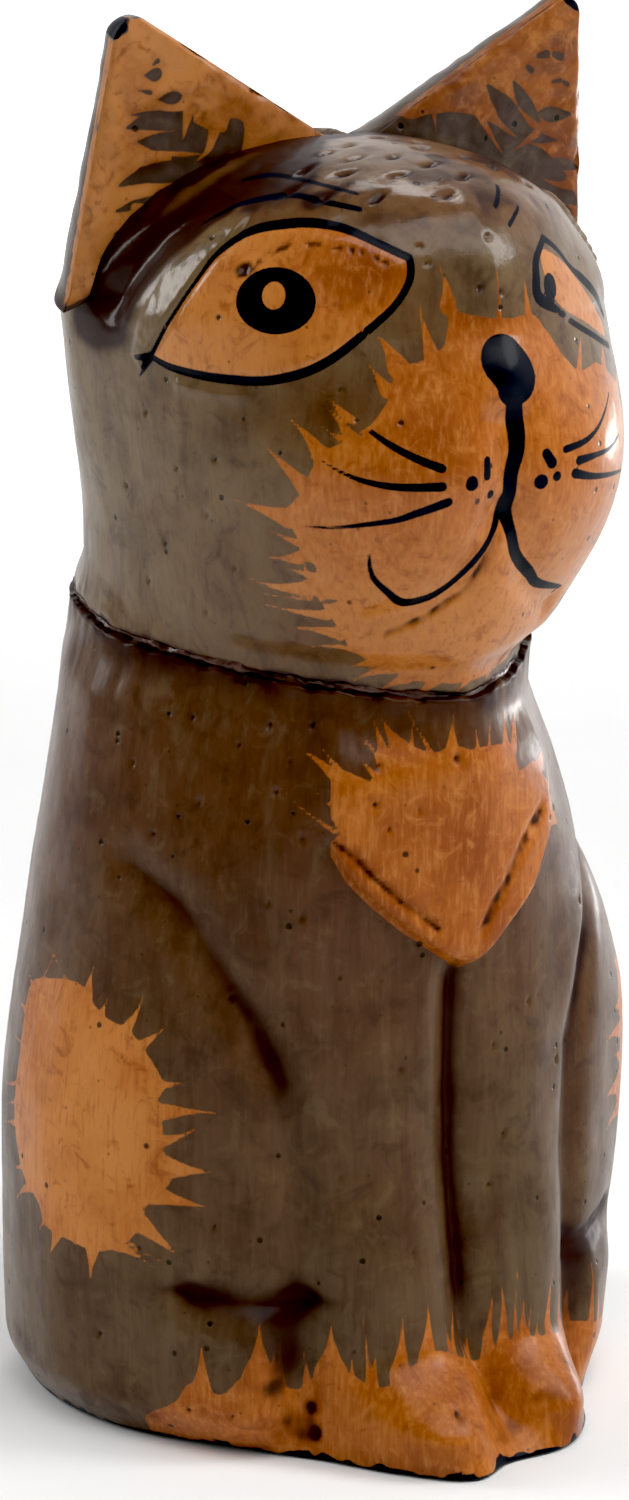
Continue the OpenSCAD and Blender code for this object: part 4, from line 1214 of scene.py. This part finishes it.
    # the lacquer shines most where it is seen at a slant
    slant = g.node("ShaderNodeLayerWeight", {"Blend": 0.5}).outputs["Facing"]
    sheen = g.span(slant, 0.35, 0.8, gloss, rim)
    sheen = g.math("MULTIPLY", sheen, g.math("MULTIPLY_ADD", is_ink, -0.8, 1.0))
    sheen = g.math("MULTIPLY", sheen, g.math("MULTIPLY_ADD", wax_and_shade, -0.45, 1.0))
    sheen = g.math("MULTIPLY", sheen, g.span(mottle, 0.7, 0.3, 0.75, 1.0))
    shader = g.node("ShaderNodeBsdfPrincipled", {
        "Base Color": colour, "Roughness": rough, "Normal": normal, "Coat Normal": skin,
        "IOR": 1.45, "Specular IOR Level": 0.15, "Coat Weight": sheen,
        "Coat Roughness": lacquer, "Coat IOR": 1.5,
    })
    g.put(g.out.inputs[0], shader.outputs[0])
    return g.material


def filler_material():
    g = Graph("dark_filler")
    lump = g.layer("shade")
    grain = g.noise(700, 4, 0.6)
    colour = g.blend(g.span(grain, 0.35, 0.7), (0.042, 0.016, 0.011), (0.12, 0.052, 0.036))
    chip = g.math("MULTIPLY", g.span(lump, 0.35, 0.7), g.span(g.noise(130, 2), 0.56, 0.62))
    colour = g.blend(chip, colour, (0.2, 0.13, 0.14))
    normal = g.bump(grain, 0.0002, 0.7)
    shader = g.node("ShaderNodeBsdfPrincipled", {
        "Base Color": colour, "Roughness": g.span(grain, 0.3, 0.8, 0.25, 0.6), "Normal": normal,
        "Coat Weight": 0.25, "Coat Roughness": 0.3,
    })
    g.put(g.out.inputs[0], shader.outputs[0])
    return g.material


def wood_material():
    g = Graph("bare_wood")
    long_grain = g.noise(900, 4, 0.6, g.stretch((1, 1, 0.06)))
    ring = g.noise(240, 2, 0.5, g.stretch((1, 1, 0.1)))
    colour = g.blend(g.span(long_grain, 0.3, 0.75), (0.5, 0.33, 0.17), (0.72, 0.55, 0.34))
    colour = g.blend(g.span(ring, 0.5, 0.7, 0, 0.5), colour, (0.4, 0.24, 0.11))
    normal = g.bump(long_grain, 0.0001, 0.6)
    shader = g.node("ShaderNodeBsdfPrincipled", {
        "Base Color": colour, "Roughness": g.span(long_grain, 0.3, 0.8, 0.5, 0.75), "Normal": normal,
    })
    g.put(g.out.inputs[0], shader.outputs[0])
    return g.material


def floor_material():
    g = Graph("glowing_floor_paper")
    soft = g.noise(12, 3, 0.5)
    colour = g.blend(soft, (0.86, 0.86, 0.86), (0.9, 0.9, 0.895))
    # the floor glows, more towards the back, so that it reads white behind the cat: a glowing part, painted
    # light that also lights the cat
    depth = g.node("ShaderNodeSeparateXYZ", {"Vector": g.place}).outputs[1]
    shader = g.node("ShaderNodeBsdfPrincipled", {
        "Base Color": colour, "Roughness": g.span(soft, 0.3, 0.7, 0.75, 0.85),
        "Normal": g.bump(g.noise(900, 3), 0.00005, 0.3),
        "Emission Color": (1, 1, 1, 1), "Emission Strength": g.span(depth, 0.25, 1.1, 0.02, 0.85),
    })
    g.put(g.out.inputs[0], shader.outputs[0])
    return g.material


# ------------------------------------------------------------------ pieces
def finish_piece(obj, material, node):
    obj.data.materials.append(material)
    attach(obj, "root")
    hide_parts(node)


body_paint = paint_material("painted_body")
head_paint = paint_material(
    "painted_head", (1, 1, 0.2), ((0.135, 0.062, 0.024), (0.16, 0.106, 0.053)), 0.66, 0.18, rim=0.66,
)
ear_paint = paint_material(
    "painted_ear", (0.3, 1, 0.3), ((0.058, 0.038, 0.03), (0.088, 0.061, 0.045)), 0.42, 0.24, EAR_ORANGES,
)
finish_piece(build_body(), body_paint, "body")
finish_piece(build_head(), head_paint, "head")
finish_piece(build_ear(-1), ear_paint, "ear_right")
finish_piece(build_ear(1), ear_paint, "ear_left")
finish_piece(build_tail(), body_paint, "tail")
finish_piece(build_filler(), filler_material(), "neck_filler")

wood = wood_material()
for node_name in ("neck_dowel", "ear_pegs", "tail_peg"):
    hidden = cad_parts[node_name]
    hidden.data.materials.clear()
    hidden.data.materials.append(wood)

# ------------------------------------------------------------------ floor, light and camera
def to_frame(x, y, z):
    return Vector(((x + SHIFT[0]) * MM, (y + SHIFT[1]) * MM, (z + SHIFT[2]) * MM))


floor_mesh = bpy.data.meshes.new("floor")
FLOOR_FRONT, FLOOR_BACK, FLOOR_SIDE = -3.0, 3.0, 3.0
floor_mesh.from_pydata(
    [
        (-FLOOR_SIDE, FLOOR_FRONT, 0), (FLOOR_SIDE, FLOOR_FRONT, 0),
        (FLOOR_SIDE, FLOOR_BACK, 0), (-FLOOR_SIDE, FLOOR_BACK, 0),
    ],
    [], [(0, 1, 2, 3)],
)
floor = bpy.data.objects.new("floor", floor_mesh)
floor.location.z = -0.0002
floor.rotation_euler.z = math.radians(-31)
floor_mesh.materials.append(floor_material())
bpy.context.collection.objects.link(floor)

CAMERA_FROM = to_frame(-327.9, -532.6, 244.7)
CAMERA_AT = to_frame(-17.42, -15.87, 100)
camera_data = bpy.data.cameras.new("camera")
camera = bpy.data.objects.new("camera", camera_data)
camera_data.sensor_fit = "VERTICAL"
camera_data.sensor_height = 24
camera_data.lens = 24 * (620 / 0.136) / 1500
camera.location = CAMERA_FROM
camera.rotation_euler = (CAMERA_AT - CAMERA_FROM).to_track_quat("-Z", "Y").to_euler()
bpy.context.collection.objects.link(camera)
bpy.context.scene.camera = camera


def area_light(name, place, aim, size, watts, colour=(1, 1, 1)):
    data = bpy.data.lights.new(name, "AREA")
    data.shape = "RECTANGLE"
    data.size, data.size_y = size
    data.energy = watts
    data.color = colour
    light = bpy.data.objects.new(name, data)
    light.location = place
    light.rotation_euler = (Vector(aim) - Vector(place)).to_track_quat("-Z", "Y").to_euler()
    bpy.context.collection.objects.link(light)


def softbox(name, azimuth, elevation, distance, size, watts):
    """A soft light; azimuth runs from the front (0) towards the cat's left side."""
    a, e = math.radians(azimuth), math.radians(elevation)
    place = (
        math.sin(a) * math.cos(e) * distance,
        -math.cos(a) * math.cos(e) * distance,
        0.12 + math.sin(e) * distance,
    )
    area_light(name, place, (0, 0, 0.12), size, watts)


softbox("key_front", 4, 55, 1.0, (1.2, 0.7), 8.5)
softbox("soft_right", 52, 33, 0.95, (0.3, 0.4), 3.2)
softbox("back_left", -130, 26, 0.95, (0.28, 0.65), 4.6)
softbox("strip_right", 104, -6, 0.9, (0.3, 0.16), 1.4)
softbox("top_back", 140, 60, 1.0, (0.3, 0.25), 1.3)

world = bpy.data.worlds.new("studio")
world.use_nodes = True
sky = world.node_tree
toward = sky.nodes.new("ShaderNodeVectorMath")
toward.operation = "DOT_PRODUCT"
toward.inputs[1].default_value = (0.7, 0.68, 0.2)
sky.links.new(sky.nodes.new("ShaderNodeTexCoord").outputs["Generated"], toward.inputs[0])
glow = sky.nodes.new("ShaderNodeMapRange")
glow.interpolation_type = "SMOOTHSTEP"
for key, value in (("From Min", 0.15), ("From Max", 0.7), ("To Min", 0.05), ("To Max", 1.0)):
    glow.inputs[key].default_value = value
sky.links.new(toward.outputs["Value"], glow.inputs["Value"])
# the glow stays low, so that the crown stays dark
height = sky.nodes.new("ShaderNodeSeparateXYZ")
sky.links.new(toward.inputs[0].links[0].from_socket, height.inputs[0])
low_only = sky.nodes.new("ShaderNodeMapRange")
low_only.interpolation_type = "SMOOTHSTEP"
for key, value in (("From Min", 0.85), ("From Max", 0.5), ("To Min", 0.15), ("To Max", 1.0)):
    low_only.inputs[key].default_value = value
sky.links.new(height.outputs[2], low_only.inputs["Value"])
level = sky.nodes.new("ShaderNodeMath")
level.operation = "MULTIPLY"
sky.links.new(glow.outputs["Result"], level.inputs[0])
sky.links.new(low_only.outputs["Result"], level.inputs[1])
sky.links.new(level.outputs[0], sky.nodes["Background"].inputs[1])
sky.nodes["Background"].inputs[0].default_value = (1, 1, 1, 1)
bpy.context.scene.world = world
view = bpy.context.scene.view_settings
view.view_transform = "Standard"
view.use_curve_mapping = True
view.curve_mapping.black_level = (0.018, 0.018, 0.019)
view.curve_mapping.white_level = (0.96, 0.96, 0.96)
